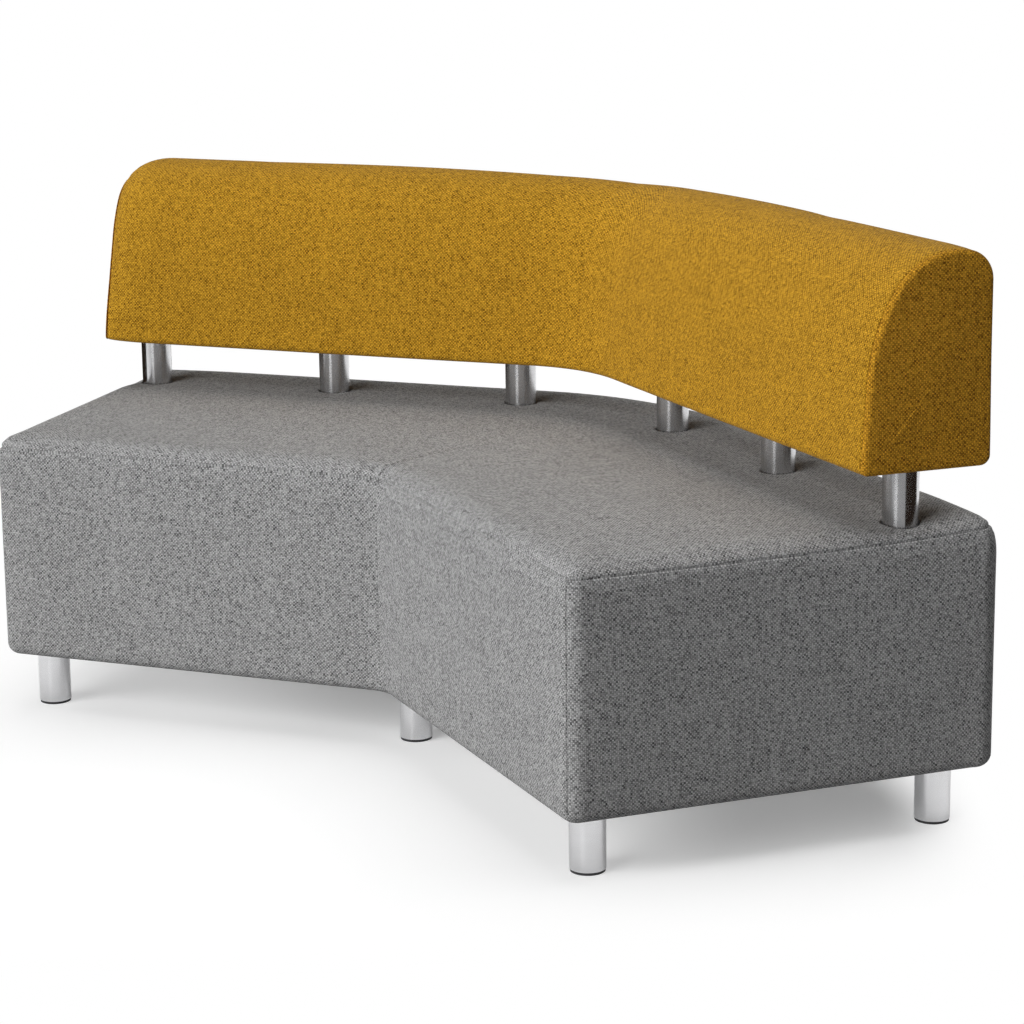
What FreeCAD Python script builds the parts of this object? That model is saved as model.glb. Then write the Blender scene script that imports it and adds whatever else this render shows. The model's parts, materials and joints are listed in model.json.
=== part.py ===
import FreeCAD
import Part
import Sketcher
import math
import os
import re

# A bench sofa of two wings that turn inwards, in millimetres. +X runs to the sitter's left, seen from the
# front as right, +Y to the back and +Z up. The floor under the middle of the outline is the origin.
# Each wing is drawn in its own plan frame: the first coordinate runs from the inner corner along the front
# towards the free end, the second from the front towards the back. The left wing mirrors the right one.

doc = FreeCAD.newDocument("Sofa")
sheet = doc.addObject("Spreadsheet::Sheet", "Sizes")

# Driving dimensions
SIZES = {
    # Plan of a wing: the turn out of the straight line and the splay of the free end, in degrees
    "half_turn": 22.5,
    "end_splay": 3.5,
    "front_length": 650,
    "seat_depth": 620,
    "front_bend": 60,
    "rear_bend": 480,
    # Heights and edges of the seat
    "leg_height": 85,
    "seat_height": 435,
    "corner_radius": 20,
    "bottom_radius": 15,
    "crown_width": 55,
    # Upholstery: cloth, the slack under it, foam, and the seams
    "cloth": 2,
    "slack": 0.3,
    "side_foam": 15,
    "seat_foam": 60,
    "seam_drop": 12,
    "hem": 20,
    # How far the blocks that part the upholstery reach past its edges
    "cut_margin": 70,
    # Boards of the seat
    "deck_board": 15,
    "base_board": 18,
    "rail_board": 15,
    "rib_place": 132,
    "rib_clearance": 30,
    # Legs, their studs and tee nuts
    "leg_tube": 50,
    "tube_wall": 2,
    "leg_end_inset": 57,
    "leg_front_inset": 51,
    "leg_rear_inset": 52,
    "inner_leg_inset": 65,
    "leg_cap": 6,
    "thread": 10,
    "thread_gap": 0.05,
    "stud_length": 25,
    "tee_barrel": 13,
    "tee_barrel_length": 12,
    "tee_flange": 24,
    "tee_flange_height": 2,
    "fit_gap": 0.1,
    # Levelling glides and the inserts that hold them
    "glide_pad": 48,
    "glide_height": 4,
    "glide_stem": 32,
    "insert_length": 18,
    # Posts of the backrest, with the tie rods inside them
    "post_tube": 50,
    "post_depth": 504,
    "post_first": 175,
    "post_pitch": 333,
    "nut_width": 17,
    "nut_height": 9,
    "nut_flange": 24,
    "nut_flange_height": 2.5,
    "rod_proud": 4,
    "nut_room": 3,
    # Backrest: its profile across a wing, and its bend
    "back_front": 416,
    "back_rear": 603,
    "back_bottom": 518,
    "back_top": 803,
    "back_crest": 551,
    "back_lean": 3,
    "face_radius": 250,
    "crown_radius": 105,
    "rear_radius": 36,
    "heel_radius": 15,
    "toe_radius": 8,
    "back_bend": 230,
    "back_board": 18,
    "back_foam_front": 22,
    "back_foam_rear": 15,
    "back_foam_end": 20,
    "back_foam_top": 45,
    "spine_board": 12,
}
for row, (alias, number) in enumerate(SIZES.items(), 1):
    sheet.set(f"A{row}", alias)
    sheet.set(f"B{row}", str(number))
    sheet.setAlias(f"B{row}", alias)

doc.recompute()
alias_words = re.compile(r"\b(" + "|".join(SIZES) + r")\b")

# Derived levels, insets and places, as formulas of the driving dimensions
FOAM_INSET = "(cloth + slack)"
CARCASS_INSET = "(cloth + slack + side_foam)"
RAIL_INSET = "(cloth + slack + side_foam + rail_board)"
BASE_BOTTOM = "(leg_height + cloth)"
BASE_TOP = "(leg_height + cloth + base_board)"
DECK_TOP = "(seat_height - cloth - slack - seat_foam)"
DECK_BOTTOM = "(seat_height - cloth - slack - seat_foam - deck_board)"
SEAM_LEVEL = "(seat_height - seam_drop)"
ABOVE_ALL = "(back_top + cut_margin)"
BACK_BOARD_BOTTOM = "(back_bottom + cloth + slack)"
BACK_BOARD_TOP = "(back_bottom + cloth + slack + back_board)"
REAR_MIDDLE = "((seat_depth - rear_bend) / cos(half_turn) + rear_bend)"
FRONT_REACH = (
    "((front_length + corner_radius * tan(end_splay) - corner_radius / cos(end_splay)) * sin(half_turn)"
    " - corner_radius * cos(half_turn) + corner_radius)"
)
PLAN_SHIFT = f"(({FRONT_REACH} - {REAR_MIDDLE}) / 2)"
BEND_DEPTH = "(back_front - back_bend)"
BEND_ALONG = f"(-{BEND_DEPTH} * tan(half_turn))"
CROWN_BANDS = 3


def formula(text):
    """Point every alias in a formula at the sheet."""
    return alias_words.sub(lambda found: "Sizes." + found.group(0), text)


def value(text):
    """Work a formula out now, in millimetres or degrees."""
    return float(sheet.evalExpression(formula(text)))


def bind(thing, prop, text):
    """Tie a property to a formula of the sheet."""
    thing.setExpression(prop, formula(text))


def new_body(name):
    return doc.addObject("PartDesign::Body", name)


def in_wing(body):
    """Turn a body drawn in the wing's plan frame to its place in the sofa."""
    body.Placement = FreeCAD.Placement(FreeCAD.Vector(), FreeCAD.Rotation(FreeCAD.Vector(0, 0, -1), 1))
    bind(body, "Placement.Base.y", PLAN_SHIFT)
    bind(body, "Placement.Rotation.Angle", "half_turn")
    return body


def new_sketch(body, plane, offset):
    """Attach a sketch to one of the body's planes, moved by formulas for its own x, y and z."""
    sketch = body.newObject("Sketcher::SketchObject", body.Name + "_sketch")
    planes = {feature.Role: feature for feature in body.Origin.OriginFeatures}
    sketch.AttachmentSupport = [(planes[plane], "")]
    sketch.MapMode = "FlatFace"
    for axis, text in zip("xyz", offset):
        bind(sketch, "AttachmentOffset.Base." + axis, text)
    return sketch


def round_edge(start, end, radius, left):
    """An arc of under a half circle from start to end, with its centre on the left or the right."""
    chord = end - start
    reach = math.sqrt(radius**2 - chord.Length**2 / 4)
    side = FreeCAD.Vector(-chord.y, chord.x, 0).normalize() * (reach if left else -reach)
    centre = (start + end) / 2 + side
    angles = [math.atan2(point.y - centre.y, point.x - centre.x) for point in (start, end)]
    circle = Part.Circle(centre, FreeCAD.Vector(0, 0, 1), radius)
    return Part.ArcOfCircle(circle, *(angles if left else reversed(angles)))


def draw_outline(sketch, points, arcs=None):
    """Draw a closed outline whose corners are formulas, with some sides as arcs.

    arcs holds, for the side that starts at a corner, its radius and whether its centre is on the left.
    """
    arcs = arcs or {}
    count = len(points)
    places = [FreeCAD.Vector(value(x), value(y), 0) for x, y in points]
    sides, starts, ends = [], [], []
    for index in range(count):
        start, end = places[index], places[(index + 1) % count]
        if index in arcs:
            radius, left = arcs[index]
            sides.append(round_edge(start, end, value(radius), left))
        else:
            left = True
            sides.append(Part.LineSegment(start, end))
        starts.append(1 if left else 2)
        ends.append(2 if left else 1)
    sketch.addGeometry(sides, False)
    rules, ties = [], []
    for index in range(count):
        after = (index + 1) % count
        rules.append(Sketcher.Constraint("Coincident", index, ends[index], after, starts[after]))
    for index, (x, y) in enumerate(points):
        for kind, text in (("DistanceX", x), ("DistanceY", y)):
            ties.append((len(rules), text))
            rules.append(Sketcher.Constraint(kind, -1, 1, index, starts[index], value(text)))
    for index, (radius, left) in arcs.items():
        ties.append((len(rules), radius))
        rules.append(Sketcher.Constraint("Radius", index, value(radius)))
    sketch.addConstraint(rules)
    for index, text in ties:
        bind(sketch, f"Constraints[{index}]", text)


def add_pad(body, sketch, length):
    pad = body.newObject("PartDesign::Pad", body.Name + "_pad")
    pad.Profile = sketch
    bind(pad, "Length", length)
    doc.recompute()
    return pad


def plan_solid(name, points, arcs, bottom, top):
    """Raise a plan outline of the wing from one level to another."""
    body = new_body(name)
    sketch = new_sketch(body, "XY_Plane", ("0", "0", bottom))
    draw_outline(sketch, points, arcs)
    add_pad(body, sketch, f"{top} - {bottom}")
    return in_wing(body)


def turned_solid(name, points):
    """Turn an outline of radii and heights about the upright axis."""
    body = new_body(name)
    sketch = new_sketch(body, "XZ_Plane", ("0", "0", "0"))
    draw_outline(sketch, points)
    turn = body.newObject("PartDesign::Revolution", name + "_turn")
    turn.Profile = sketch
    turn.ReferenceAxis = (sketch, ["V_Axis"])
    turn.Angle = 360
    doc.recompute()
    return body


def put_at(body, x, y, z="0"):
    for axis, text in zip("xyz", (x, y, z)):
        bind(body, "Placement.Base." + axis, text)
    return body


def boolean(kind, name, base, tool):
    result = doc.addObject("Part::" + kind, name)
    result.Base = base
    result.Tool = tool
    if kind == "Fuse":
        result.Refine = True
    doc.recompute()
    return result


def cut(name, base, *tools):
    for index, tool in enumerate(tools):
        base = boolean("Cut", name if index == len(tools) - 1 else f"{name}_before_{index}", base, tool)
    return base


def common(name, base, tool):
    return boolean("Common", name, base, tool)


def mirror(name, source):
    result = doc.addObject("Part::Mirroring", name)
    result.Source = source
    result.Base = FreeCAD.Vector(0, 0, 0)
    result.Normal = FreeCAD.Vector(1, 0, 0)
    doc.recompute()
    return result


def group(name, members):
    result = doc.addObject("Part::Compound", name)
    result.Links = members
    doc.recompute()
    return result


nodes = {}


def keep(name, thing):
    """Make a finished piece a node of the part."""
    thing.Label = name
    nodes[name] = thing
    return thing


def keep_pair(name, right):
    """Keep a piece of the right wing, and its mirror image in the left wing."""
    keep(name + "_right", right)
    keep(name + "_left", mirror(name + "_left", right))


def keep_joined(name, right):
    """Keep one piece that crosses the middle, made of the right half and its mirror image."""
    keep(name, boolean("Fuse", name, right, mirror(name + "_mirror", right)))


# Plan outlines of the right wing


def end_along(depth, inset):
    """Where the splayed end lies along the front at a depth, drawn in by an inset."""
    return f"(front_length + ({depth}) * tan(end_splay) - ({inset}) / cos(end_splay))"


def bisector_point(behind):
    """A point of the middle plane, so far behind the inner corner."""
    return (f"-({behind}) * sin(half_turn)", f"({behind}) * cos(half_turn)")


def rear_points(inset):
    """The rear edge at an inset, from the end to the middle: a straight, then the rear bend."""
    depth = f"(seat_depth - {inset})"
    return [
        (end_along(depth, inset), depth),
        ("-(seat_depth - rear_bend) * tan(half_turn)", depth),
        bisector_point(f"{REAR_MIDDLE} - {inset}"),
    ]


def wing_outline(inset, radius):
    """The wing at an inset, with the inner corner eased by the front bend and the end's corners rounded."""
    front_turn = f"({radius}) / tan(45 + end_splay / 2)"
    rear_turn = f"({radius}) / tan(45 - end_splay / 2)"
    front_corner = end_along(inset, inset)
    (rear_along, rear_depth), straight_end, rear_middle = rear_points(inset)
    points = [
        bisector_point(f"front_bend + {inset} - front_bend / cos(half_turn)"),
        ("front_bend * tan(half_turn)", inset),
        (f"{front_corner} - {front_turn}", inset),
        (f"{front_corner} + {front_turn} * sin(end_splay)", f"{inset} + {front_turn} * cos(end_splay)"),
        (f"{rear_along} - {rear_turn} * sin(end_splay)", f"{rear_depth} - {rear_turn} * cos(end_splay)"),
        (f"{rear_along} - {rear_turn}", rear_depth),
        straight_end,
        rear_middle,
    ]
    arcs = {
        0: (f"front_bend + {inset}", False),
        2: (radius, True),
        4: (radius, True),
        6: (f"rear_bend - {inset}", True),
    }
    return points, arcs


def board_outline(inset):
    """The wing at an inset with the inner corner left sharp, as boards are cut."""
    points = [(f"-({inset}) * tan(half_turn)", inset), (end_along(inset, inset), inset), *rear_points(inset)]
    return points, {3: (f"rear_bend - {inset}", True)}


def band_outlines(reach):
    """Plan strips over the front, the end and the rear edge, mitred through the corners."""
    inside, outside = f"({reach})", f"(-{reach})"

    def corner(depth, inset):
        return (end_along(depth, inset), depth)

    front_out, front_in = corner(outside, outside), corner(inside, inside)
    rear_out = corner(f"(seat_depth + {reach})", outside)
    rear_in = corner(f"(seat_depth - {reach})", inside)

    def on_bisector(depth):
        return (f"-({depth}) * tan(half_turn)", depth)

    return {
        "front": [on_bisector(outside), front_out, front_in, on_bisector(inside)],
        "end": [front_out, rear_out, rear_in, front_in],
        "rear": [on_bisector(rear_in[1]), rear_in, rear_out, on_bisector(rear_out[1])],
    }


# The upholstered form of the seat


def on_bisector_plane(edge):
    turn = math.radians(value("half_turn"))
    return all(abs(v.X * math.cos(turn) + v.Y * math.sin(turn)) < 0.01 for v in edge.Vertexes)


def add_fillet(body, name, radius, wanted):
    """Round the edges of the body's last feature that pass a test."""
    base = body.Tip
    names = [f"Edge{i + 1}" for i, edge in enumerate(base.Shape.Edges) if wanted(edge)]
    fillet = body.newObject("PartDesign::Fillet", f"{body.Name}_{name}")
    fillet.Base = (base, names)
    bind(fillet, "Radius", radius)
    doc.recompute()


def seat_form(name, inset):
    """The whole wing of the seat at an inset: upright sides with a rounded lower edge, and a crowned top.

    The crown rises from the seam as a quarter of an ellipse, taken in three straight bands.
    """
    bottom, seam = f"(leg_height + {inset})", f"({SEAM_LEVEL} - {inset})"
    radius = f"(corner_radius - {inset})"
    body = plan_solid(name, *wing_outline(inset, radius), bottom, seam)

    def lower_rim(edge):
        return all(abs(v.Z - value(bottom)) < 0.01 for v in edge.Vertexes) and not on_bisector_plane(edge)

    add_fillet(body, "bottom", f"bottom_radius - {inset}", lower_rim)
    sections = []
    for step in range(CROWN_BANDS + 1):
        turn = 90 * step / CROWN_BANDS
        section = new_sketch(body, "XY_Plane", ("0", "0", f"{seam} + seam_drop * sin({turn})"))
        draw_outline(section, *wing_outline(f"({inset} + crown_width * (1 - cos({turn})))", radius))
        sections.append(section)
    crown = body.newObject("PartDesign::AdditiveLoft", name + "_crown")
    crown.Profile = sections[0]
    crown.Sections = sections[1:]
    crown.Ruled = True
    doc.recompute()
    return body


def straight_runs(depth):
    return f"-({depth}) * tan(half_turn)"


# Places of the posts and legs, from the middle plane of the sofa and across it


def plan_place(along, depth, side=1):
    """Turn a place of the wing's plan frame into one of the sofa's."""
    x = f"{side} * (({along}) * cos(half_turn) + ({depth}) * sin(half_turn))"
    y = f"({depth}) * cos(half_turn) - ({along}) * sin(half_turn) + {PLAN_SHIFT}"
    return x, y


def post_places(side):
    for index, word in enumerate(("inner", "middle", "outer")):
        along = f"post_first + {index} * post_pitch - post_depth * tan(half_turn)"
        yield word, plan_place(along, "post_depth", side)


def leg_places():
    rear_depth = "(seat_depth - leg_rear_inset)"
    for word, side in (("left", -1), ("right", 1)):
        for end, depth in (("front", "leg_front_inset"), ("rear", rear_depth)):
            yield f"{end}_{word}", plan_place(end_along(depth, "leg_end_inset"), depth, side)
    yield "front_middle", ("0", f"inner_leg_inset + {PLAN_SHIFT}")
    yield "rear_middle", ("0", f"{REAR_MIDDLE} - leg_rear_inset + {PLAN_SHIFT}")


def ring_points(inner, outer, bottom, top):
    return [(inner, bottom), (outer, bottom), (outer, top), (inner, top)]


def plug_points(radius, bottom, top):
    return ring_points("0", radius, bottom, top)


def drill(name, places, radius, bottom, top):
    """Plain cylinders at each place, to cut holes with."""
    drills = []
    for index, (x, y) in enumerate(places):
        drills.append(put_at(turned_solid(f"{name}_{index}", plug_points(radius, bottom, top)), x, y))
    return group(name, drills)


right_posts = [place for word, place in post_places(1)]
all_posts = right_posts + [place for word, place in post_places(-1)]
all_legs = [place for word, place in leg_places()]
post_drill = drill("post_drill", right_posts, "post_tube / 2 + slack", DECK_TOP, BACK_BOARD_BOTTOM)

# Seat cover: a skin over the form, parted along its seams

outer_form = seat_form("seat_outer", "0")
inner_form = seat_form("seat_inner", "cloth")
hem_block = plan_solid("hem_block", *board_outline("hem"), "0", BASE_BOTTOM)
top_block = plan_solid("top_block", *board_outline("(-cut_margin)"), SEAM_LEVEL, ABOVE_ALL)
skin = cut("seat_skin", outer_form, inner_form, hem_block)
keep_pair("seat_top_cover", cut("seat_top_cover_right", common("top_skin", skin, top_block), post_drill))
for edge_name, strip in band_outlines("cut_margin").items():
    block = plan_solid(f"{edge_name}_cover_block", strip, {}, "0", SEAM_LEVEL)
    keep_pair(f"seat_{edge_name}_cover", common(f"seat_{edge_name}_cover_right", skin, block))

# Seat foam: a pad on the deck and padding round the carcass

foam_form = seat_form("foam_form", FOAM_INSET)
pad_block = plan_solid("pad_block", *board_outline("(-cut_margin)"), DECK_TOP, ABOVE_ALL)
keep_pair("seat_foam", cut("seat_foam_right", common("foam_pad", foam_form, pad_block), post_drill))
carcass_block = plan_solid("carcass_block", *board_outline(CARCASS_INSET), "0", ABOVE_ALL)
padding = cut("padding", foam_form, carcass_block)
for edge_name, strip in band_outlines("cut_margin").items():
    block = plan_solid(f"{edge_name}_foam_block", strip, {}, "0", DECK_TOP)
    keep_pair(f"{edge_name}_foam", common(f"{edge_name}_foam_right", padding, block))

# Carcass boards

tee_drill = drill("tee_drill", all_legs, "tee_barrel / 2 + fit_gap", "0", BASE_TOP)
stud_drill = drill("stud_drill", all_legs, "thread / 2 + slack", "0", BASE_BOTTOM)
rod_drill = drill("rod_drill", all_posts, "thread / 2 + slack", DECK_BOTTOM, BACK_BOARD_TOP)


def joined_board(name, inset, bottom, top, holes):
    right = plan_solid(name + "_right", *board_outline(inset), bottom, top)
    whole = boolean("Fuse", name + "_whole", right, mirror(name + "_left", right))
    return keep(name, cut(name, whole, holes))


joined_board("base_board", CARCASS_INSET, BASE_BOTTOM, BASE_TOP, tee_drill)
joined_board("seat_deck", CARCASS_INSET, DECK_BOTTOM, DECK_TOP, rod_drill)
joined_board("dust_cover", "(hem + slack)", "leg_height", BASE_BOTTOM, stud_drill)

front_rail = [
    (straight_runs(CARCASS_INSET), CARCASS_INSET),
    (end_along(CARCASS_INSET, CARCASS_INSET), CARCASS_INSET),
    (end_along(RAIL_INSET, CARCASS_INSET), RAIL_INSET),
    (straight_runs(RAIL_INSET), RAIL_INSET),
]
keep_pair("front_rail", plan_solid("front_rail_right", front_rail, {}, BASE_TOP, DECK_BOTTOM))

rail_rear = f"(seat_depth - {RAIL_INSET})"
rear_outer, rear_inner = rear_points(CARCASS_INSET), rear_points(RAIL_INSET)
rear_inner[0] = (end_along(rail_rear, CARCASS_INSET), rail_rear)
rear_arcs = {1: (f"rear_bend - {CARCASS_INSET}", True), 3: (f"rear_bend - {RAIL_INSET}", False)}
rear_rail = rear_outer + rear_inner[::-1]
keep_pair("rear_rail", plan_solid("rear_rail_right", rear_rail, rear_arcs, BASE_TOP, DECK_BOTTOM))

end_rail = [
    (end_along(RAIL_INSET, RAIL_INSET), RAIL_INSET),
    (end_along(RAIL_INSET, CARCASS_INSET), RAIL_INSET),
    (end_along(rail_rear, CARCASS_INSET), rail_rear),
    (end_along(rail_rear, RAIL_INSET), rail_rear),
]
keep_pair("end_rail", plan_solid("end_rail_right", end_rail, {}, BASE_TOP, DECK_BOTTOM))

cross_rib = [
    ("rib_place", RAIL_INSET),
    ("rib_place + rail_board", RAIL_INSET),
    ("rib_place + rail_board", rail_rear),
    ("rib_place", rail_rear),
]
keep_pair("cross_rib", plan_solid("cross_rib_right", cross_rib, {}, BASE_TOP, DECK_BOTTOM))

centre_rib = doc.addObject("Part::Box", "centre_rib")
bind(centre_rib, "Length", "rail_board")
bind(centre_rib, "Width", f"{REAR_MIDDLE} - leg_rear_inset - inner_leg_inset - 2 * rib_clearance")
bind(centre_rib, "Height", f"{DECK_BOTTOM} - {BASE_TOP}")
put_at(centre_rib, "-rail_board / 2", f"inner_leg_inset + rib_clearance + {PLAN_SHIFT}", BASE_TOP)
keep("centre_rib", centre_rib)

# Legs with a closed top and a stud, glides, and the fixings of both

leg_points = [
    ("leg_tube / 2 - tube_wall", "glide_height"),
    ("leg_tube / 2", "glide_height"),
    ("leg_tube / 2", "leg_height"),
    ("thread / 2", "leg_height"),
    ("thread / 2", "leg_height + stud_length"),
    ("0", "leg_height + stud_length"),
    ("0", "leg_height - leg_cap"),
    ("leg_tube / 2 - tube_wall", "leg_height - leg_cap"),
]
glide_points = [
    ("0", "0"),
    ("glide_pad / 2", "0"),
    ("glide_pad / 2", "glide_height"),
    ("thread / 2", "glide_height"),
    ("thread / 2", "glide_height + glide_stem"),
    ("0", "glide_height + glide_stem"),
]
insert_points = ring_points(
    "thread / 2 + thread_gap", "leg_tube / 2 - tube_wall", "glide_height", "glide_height + insert_length"
)
tee_points = [
    ("thread / 2 + thread_gap", f"{BASE_TOP} - tee_barrel_length"),
    ("tee_barrel / 2", f"{BASE_TOP} - tee_barrel_length"),
    ("tee_barrel / 2", BASE_TOP),
    ("tee_flange / 2", BASE_TOP),
    ("tee_flange / 2", f"{BASE_TOP} + tee_flange_height"),
    ("thread / 2 + thread_gap", f"{BASE_TOP} + tee_flange_height"),
]
inserts, tees = [], []
for word, (x, y) in leg_places():
    keep(f"leg_{word}", put_at(turned_solid(f"leg_{word}", leg_points), x, y))
    keep(f"glide_{word}", put_at(turned_solid(f"glide_{word}", glide_points), x, y))
    inserts.append(put_at(turned_solid(f"insert_{word}", insert_points), x, y))
    tees.append(put_at(turned_solid(f"tee_{word}", tee_points), x, y))
keep("glide_inserts", group("glide_inserts", inserts))
keep("leg_tee_nuts", group("leg_tee_nuts", tees))

# Posts, tie rods and nuts


def flange_nut(name, seat, upwards):
    """A hexagon nut with a round flange that sits on a board, above or below it."""
    flange_bottom, hexagon_bottom = seat, f"({seat} + nut_flange_height)"
    if not upwards:
        flange_bottom = f"({seat} - nut_flange_height)"
        hexagon_bottom = f"({seat} - nut_flange_height - nut_height)"
    body = turned_solid(
        name,
        ring_points(
            "thread / 2 + thread_gap", "nut_flange / 2", flange_bottom, f"{flange_bottom} + nut_flange_height"
        ),
    )
    sketch = new_sketch(body, "XY_Plane", ("0", "0", hexagon_bottom))
    corners = []
    for index in range(6):
        turn = f"{60 * index}"
        corners.append((f"nut_width / sqrt(3) * cos({turn})", f"nut_width / sqrt(3) * sin({turn})"))
    draw_outline(sketch, corners)
    add_pad(body, sketch, "nut_height")
    bore = new_sketch(body, "XY_Plane", ("0", "0", hexagon_bottom))
    bore.addGeometry(
        Part.Circle(FreeCAD.Vector(), FreeCAD.Vector(0, 0, 1), value("thread / 2 + thread_gap")), False
    )
    bore.addConstraint(Sketcher.Constraint("Coincident", 0, 3, -1, 1))
    bore.addConstraint(Sketcher.Constraint("Radius", 0, value("thread / 2 + thread_gap")))
    bind(bore, "Constraints[1]", "thread / 2 + thread_gap")
    pocket = body.newObject("PartDesign::Pocket", name + "_bore")
    pocket.Profile = bore
    pocket.Reversed = True
    bind(pocket, "Length", "nut_height")
    doc.recompute()
    return body


post_points = ring_points("post_tube / 2 - tube_wall", "post_tube / 2", DECK_TOP, BACK_BOARD_BOTTOM)
nut_stack = "(nut_flange_height + nut_height + rod_proud)"
rod_points = plug_points("thread / 2", f"{DECK_BOTTOM} - {nut_stack}", f"{BACK_BOARD_TOP} + {nut_stack}")
rods, nuts = [], []
for side_word, side in (("left", -1), ("right", 1)):
    for word, (x, y) in post_places(side):
        name = f"post_{side_word}_{word}"
        keep(name, put_at(turned_solid(name, post_points), x, y))
        rods.append(put_at(turned_solid(f"rod_{side_word}_{word}", rod_points), x, y))
        nuts.append(put_at(flange_nut(f"lower_nut_{side_word}_{word}", DECK_BOTTOM, False), x, y))
        nuts.append(put_at(flange_nut(f"upper_nut_{side_word}_{word}", BACK_BOARD_TOP, True), x, y))
keep("tie_rods", group("tie_rods", rods))
keep("tie_rod_nuts", group("tie_rod_nuts", nuts))

# Backrest: a profile carried along the straight of a wing and round half of the bend


def draw_back_profile(sketch, inset):
    """Draw the backrest's section at an inset, as three lines and five arcs that run into each other.

    From the bottom it goes up the upright rear, over the rear edge, the crown and the face, and down the
    leaning front. The centres of the arcs stay where they are at every inset.
    """
    lean = math.radians(value("back_lean"))
    start = value(BEND_DEPTH)
    bottom, top = value(f"back_bottom + {inset}"), value(f"back_top - {inset}")
    rear = value(f"back_rear - {inset}") - start
    heel, toe, edge, crown, face = (
        value(f"{name} - {inset}")
        for name in ("heel_radius", "toe_radius", "rear_radius", "crown_radius", "face_radius")
    )
    heel_centre = FreeCAD.Vector(rear - heel, bottom + heel, 0)
    toe_centre = FreeCAD.Vector(value("back_front + toe_radius") - start, bottom + toe, 0)
    crown_centre = FreeCAD.Vector(value("back_crest") - start, top - crown, 0)
    edge_across = rear - edge - crown_centre.x
    edge_above = math.sqrt((crown - edge) ** 2 - edge_across**2)
    edge_centre = crown_centre + FreeCAD.Vector(edge_across, edge_above, 0)
    along = FreeCAD.Vector(math.sin(lean), math.cos(lean), 0)
    inward = FreeCAD.Vector(math.cos(lean), -math.sin(lean), 0)
    across = (crown_centre - toe_centre).dot(inward) + toe
    below = math.sqrt((face - crown) ** 2 - (face - across) ** 2)
    above = (crown_centre - toe_centre).dot(along) - below
    face_centre = toe_centre + inward * (face - toe) + along * above
    crown_end = (crown_centre - face_centre).normalize()
    edge_end = (edge_centre - crown_centre).normalize()
    down, back = FreeCAD.Vector(0, -1, 0), FreeCAD.Vector(1, 0, 0)

    def arc(centre, radius, first, last):
        angles = [math.atan2(way.y, way.x) for way in (first, last)]
        return Part.ArcOfCircle(Part.Circle(centre, FreeCAD.Vector(0, 0, 1), radius), *angles)

    sketch.addGeometry(
        [
            Part.LineSegment(toe_centre + down * toe, heel_centre + down * heel),
            arc(heel_centre, heel, down, back),
            Part.LineSegment(heel_centre + back * heel, edge_centre + back * edge),
            arc(edge_centre, edge, back, edge_end),
            arc(crown_centre, crown, edge_end, crown_end),
            arc(face_centre, face, crown_end, -inward),
            Part.LineSegment(face_centre - inward * face, toe_centre - inward * toe),
            arc(toe_centre, toe, -inward, down),
        ],
        False,
    )
    rules = [Sketcher.Constraint("Tangent", side, 2, (side + 1) % 8, 1) for side in range(8)]
    ties = [
        (Sketcher.Constraint("Radius", 1, heel), f"heel_radius - {inset}"),
        (Sketcher.Constraint("Radius", 3, edge), f"rear_radius - {inset}"),
        (Sketcher.Constraint("Radius", 4, crown), f"crown_radius - {inset}"),
        (Sketcher.Constraint("Radius", 5, face), f"face_radius - {inset}"),
        (Sketcher.Constraint("Radius", 7, toe), f"toe_radius - {inset}"),
        (Sketcher.Constraint("DistanceY", -1, 1, 0, 1, bottom), f"back_bottom + {inset}"),
        (Sketcher.Constraint("DistanceX", -1, 1, 2, 1, rear), f"back_rear - {inset} - {BEND_DEPTH}"),
        (Sketcher.Constraint("DistanceX", -1, 1, 4, 3, crown_centre.x), f"back_crest - {BEND_DEPTH}"),
        (Sketcher.Constraint("DistanceY", -1, 1, 4, 3, crown_centre.y), "back_top - crown_radius"),
        (Sketcher.Constraint("DistanceX", -1, 1, 7, 3, toe_centre.x), "back_bend + toe_radius"),
        (Sketcher.Constraint("Angle", 6, -math.pi / 2 - lean), "-90 - back_lean"),
    ]
    rules += [Sketcher.Constraint("Horizontal", 0), Sketcher.Constraint("Vertical", 2)]
    first = len(rules)
    sketch.addConstraint(rules + [rule for rule, text in ties])
    for index, (rule, text) in enumerate(ties):
        bind(sketch, f"Constraints[{first + index}]", text)


def back_sweep(name, draw, end_inset):
    """Carry a section from the middle round the bend and along the wing, and trim it at the splayed end."""
    body = new_body(name)
    sketch = new_sketch(body, "YZ_Plane", (BEND_DEPTH, "0", BEND_ALONG))
    draw(sketch)
    add_pad(body, sketch, f"{end_along('seat_depth', '0')} - {BEND_ALONG}")
    bend = body.newObject("PartDesign::Revolution", name + "_bend")
    bend.Profile = sketch
    bend.ReferenceAxis = (sketch, ["V_Axis"])
    bind(bend, "Angle", "half_turn")
    doc.recompute()
    trim = new_sketch(body, "XY_Plane", ("0", "0", "0"))
    draw_outline(trim, end_outline(end_inset))
    pocket = body.newObject("PartDesign::Pocket", name + "_trim")
    pocket.Profile = trim
    pocket.Reversed = True
    bind(pocket, "Length", ABOVE_ALL)
    doc.recompute()
    return in_wing(body)


def end_outline(inset):
    """The plan outside the splayed end, drawn in by an inset."""
    return [
        (end_along("0", inset), "0"),
        (end_along("seat_depth", "(-cut_margin)"), "0"),
        (end_along("seat_depth", "(-cut_margin)"), "seat_depth"),
        (end_along("seat_depth", inset), "seat_depth"),
    ]


def back_form(name, inset):
    return back_sweep(name, lambda sketch: draw_back_profile(sketch, inset), inset)


def back_plank(name, front, rear, bottom, top):
    """A board of rectangular section inside the backrest."""
    points = [(f"{across} - {BEND_DEPTH}", level) for across, level in ring_points(front, rear, bottom, top)]
    return back_sweep(name, lambda sketch: draw_outline(sketch, points), f"({FOAM_INSET} + back_foam_end)")


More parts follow.
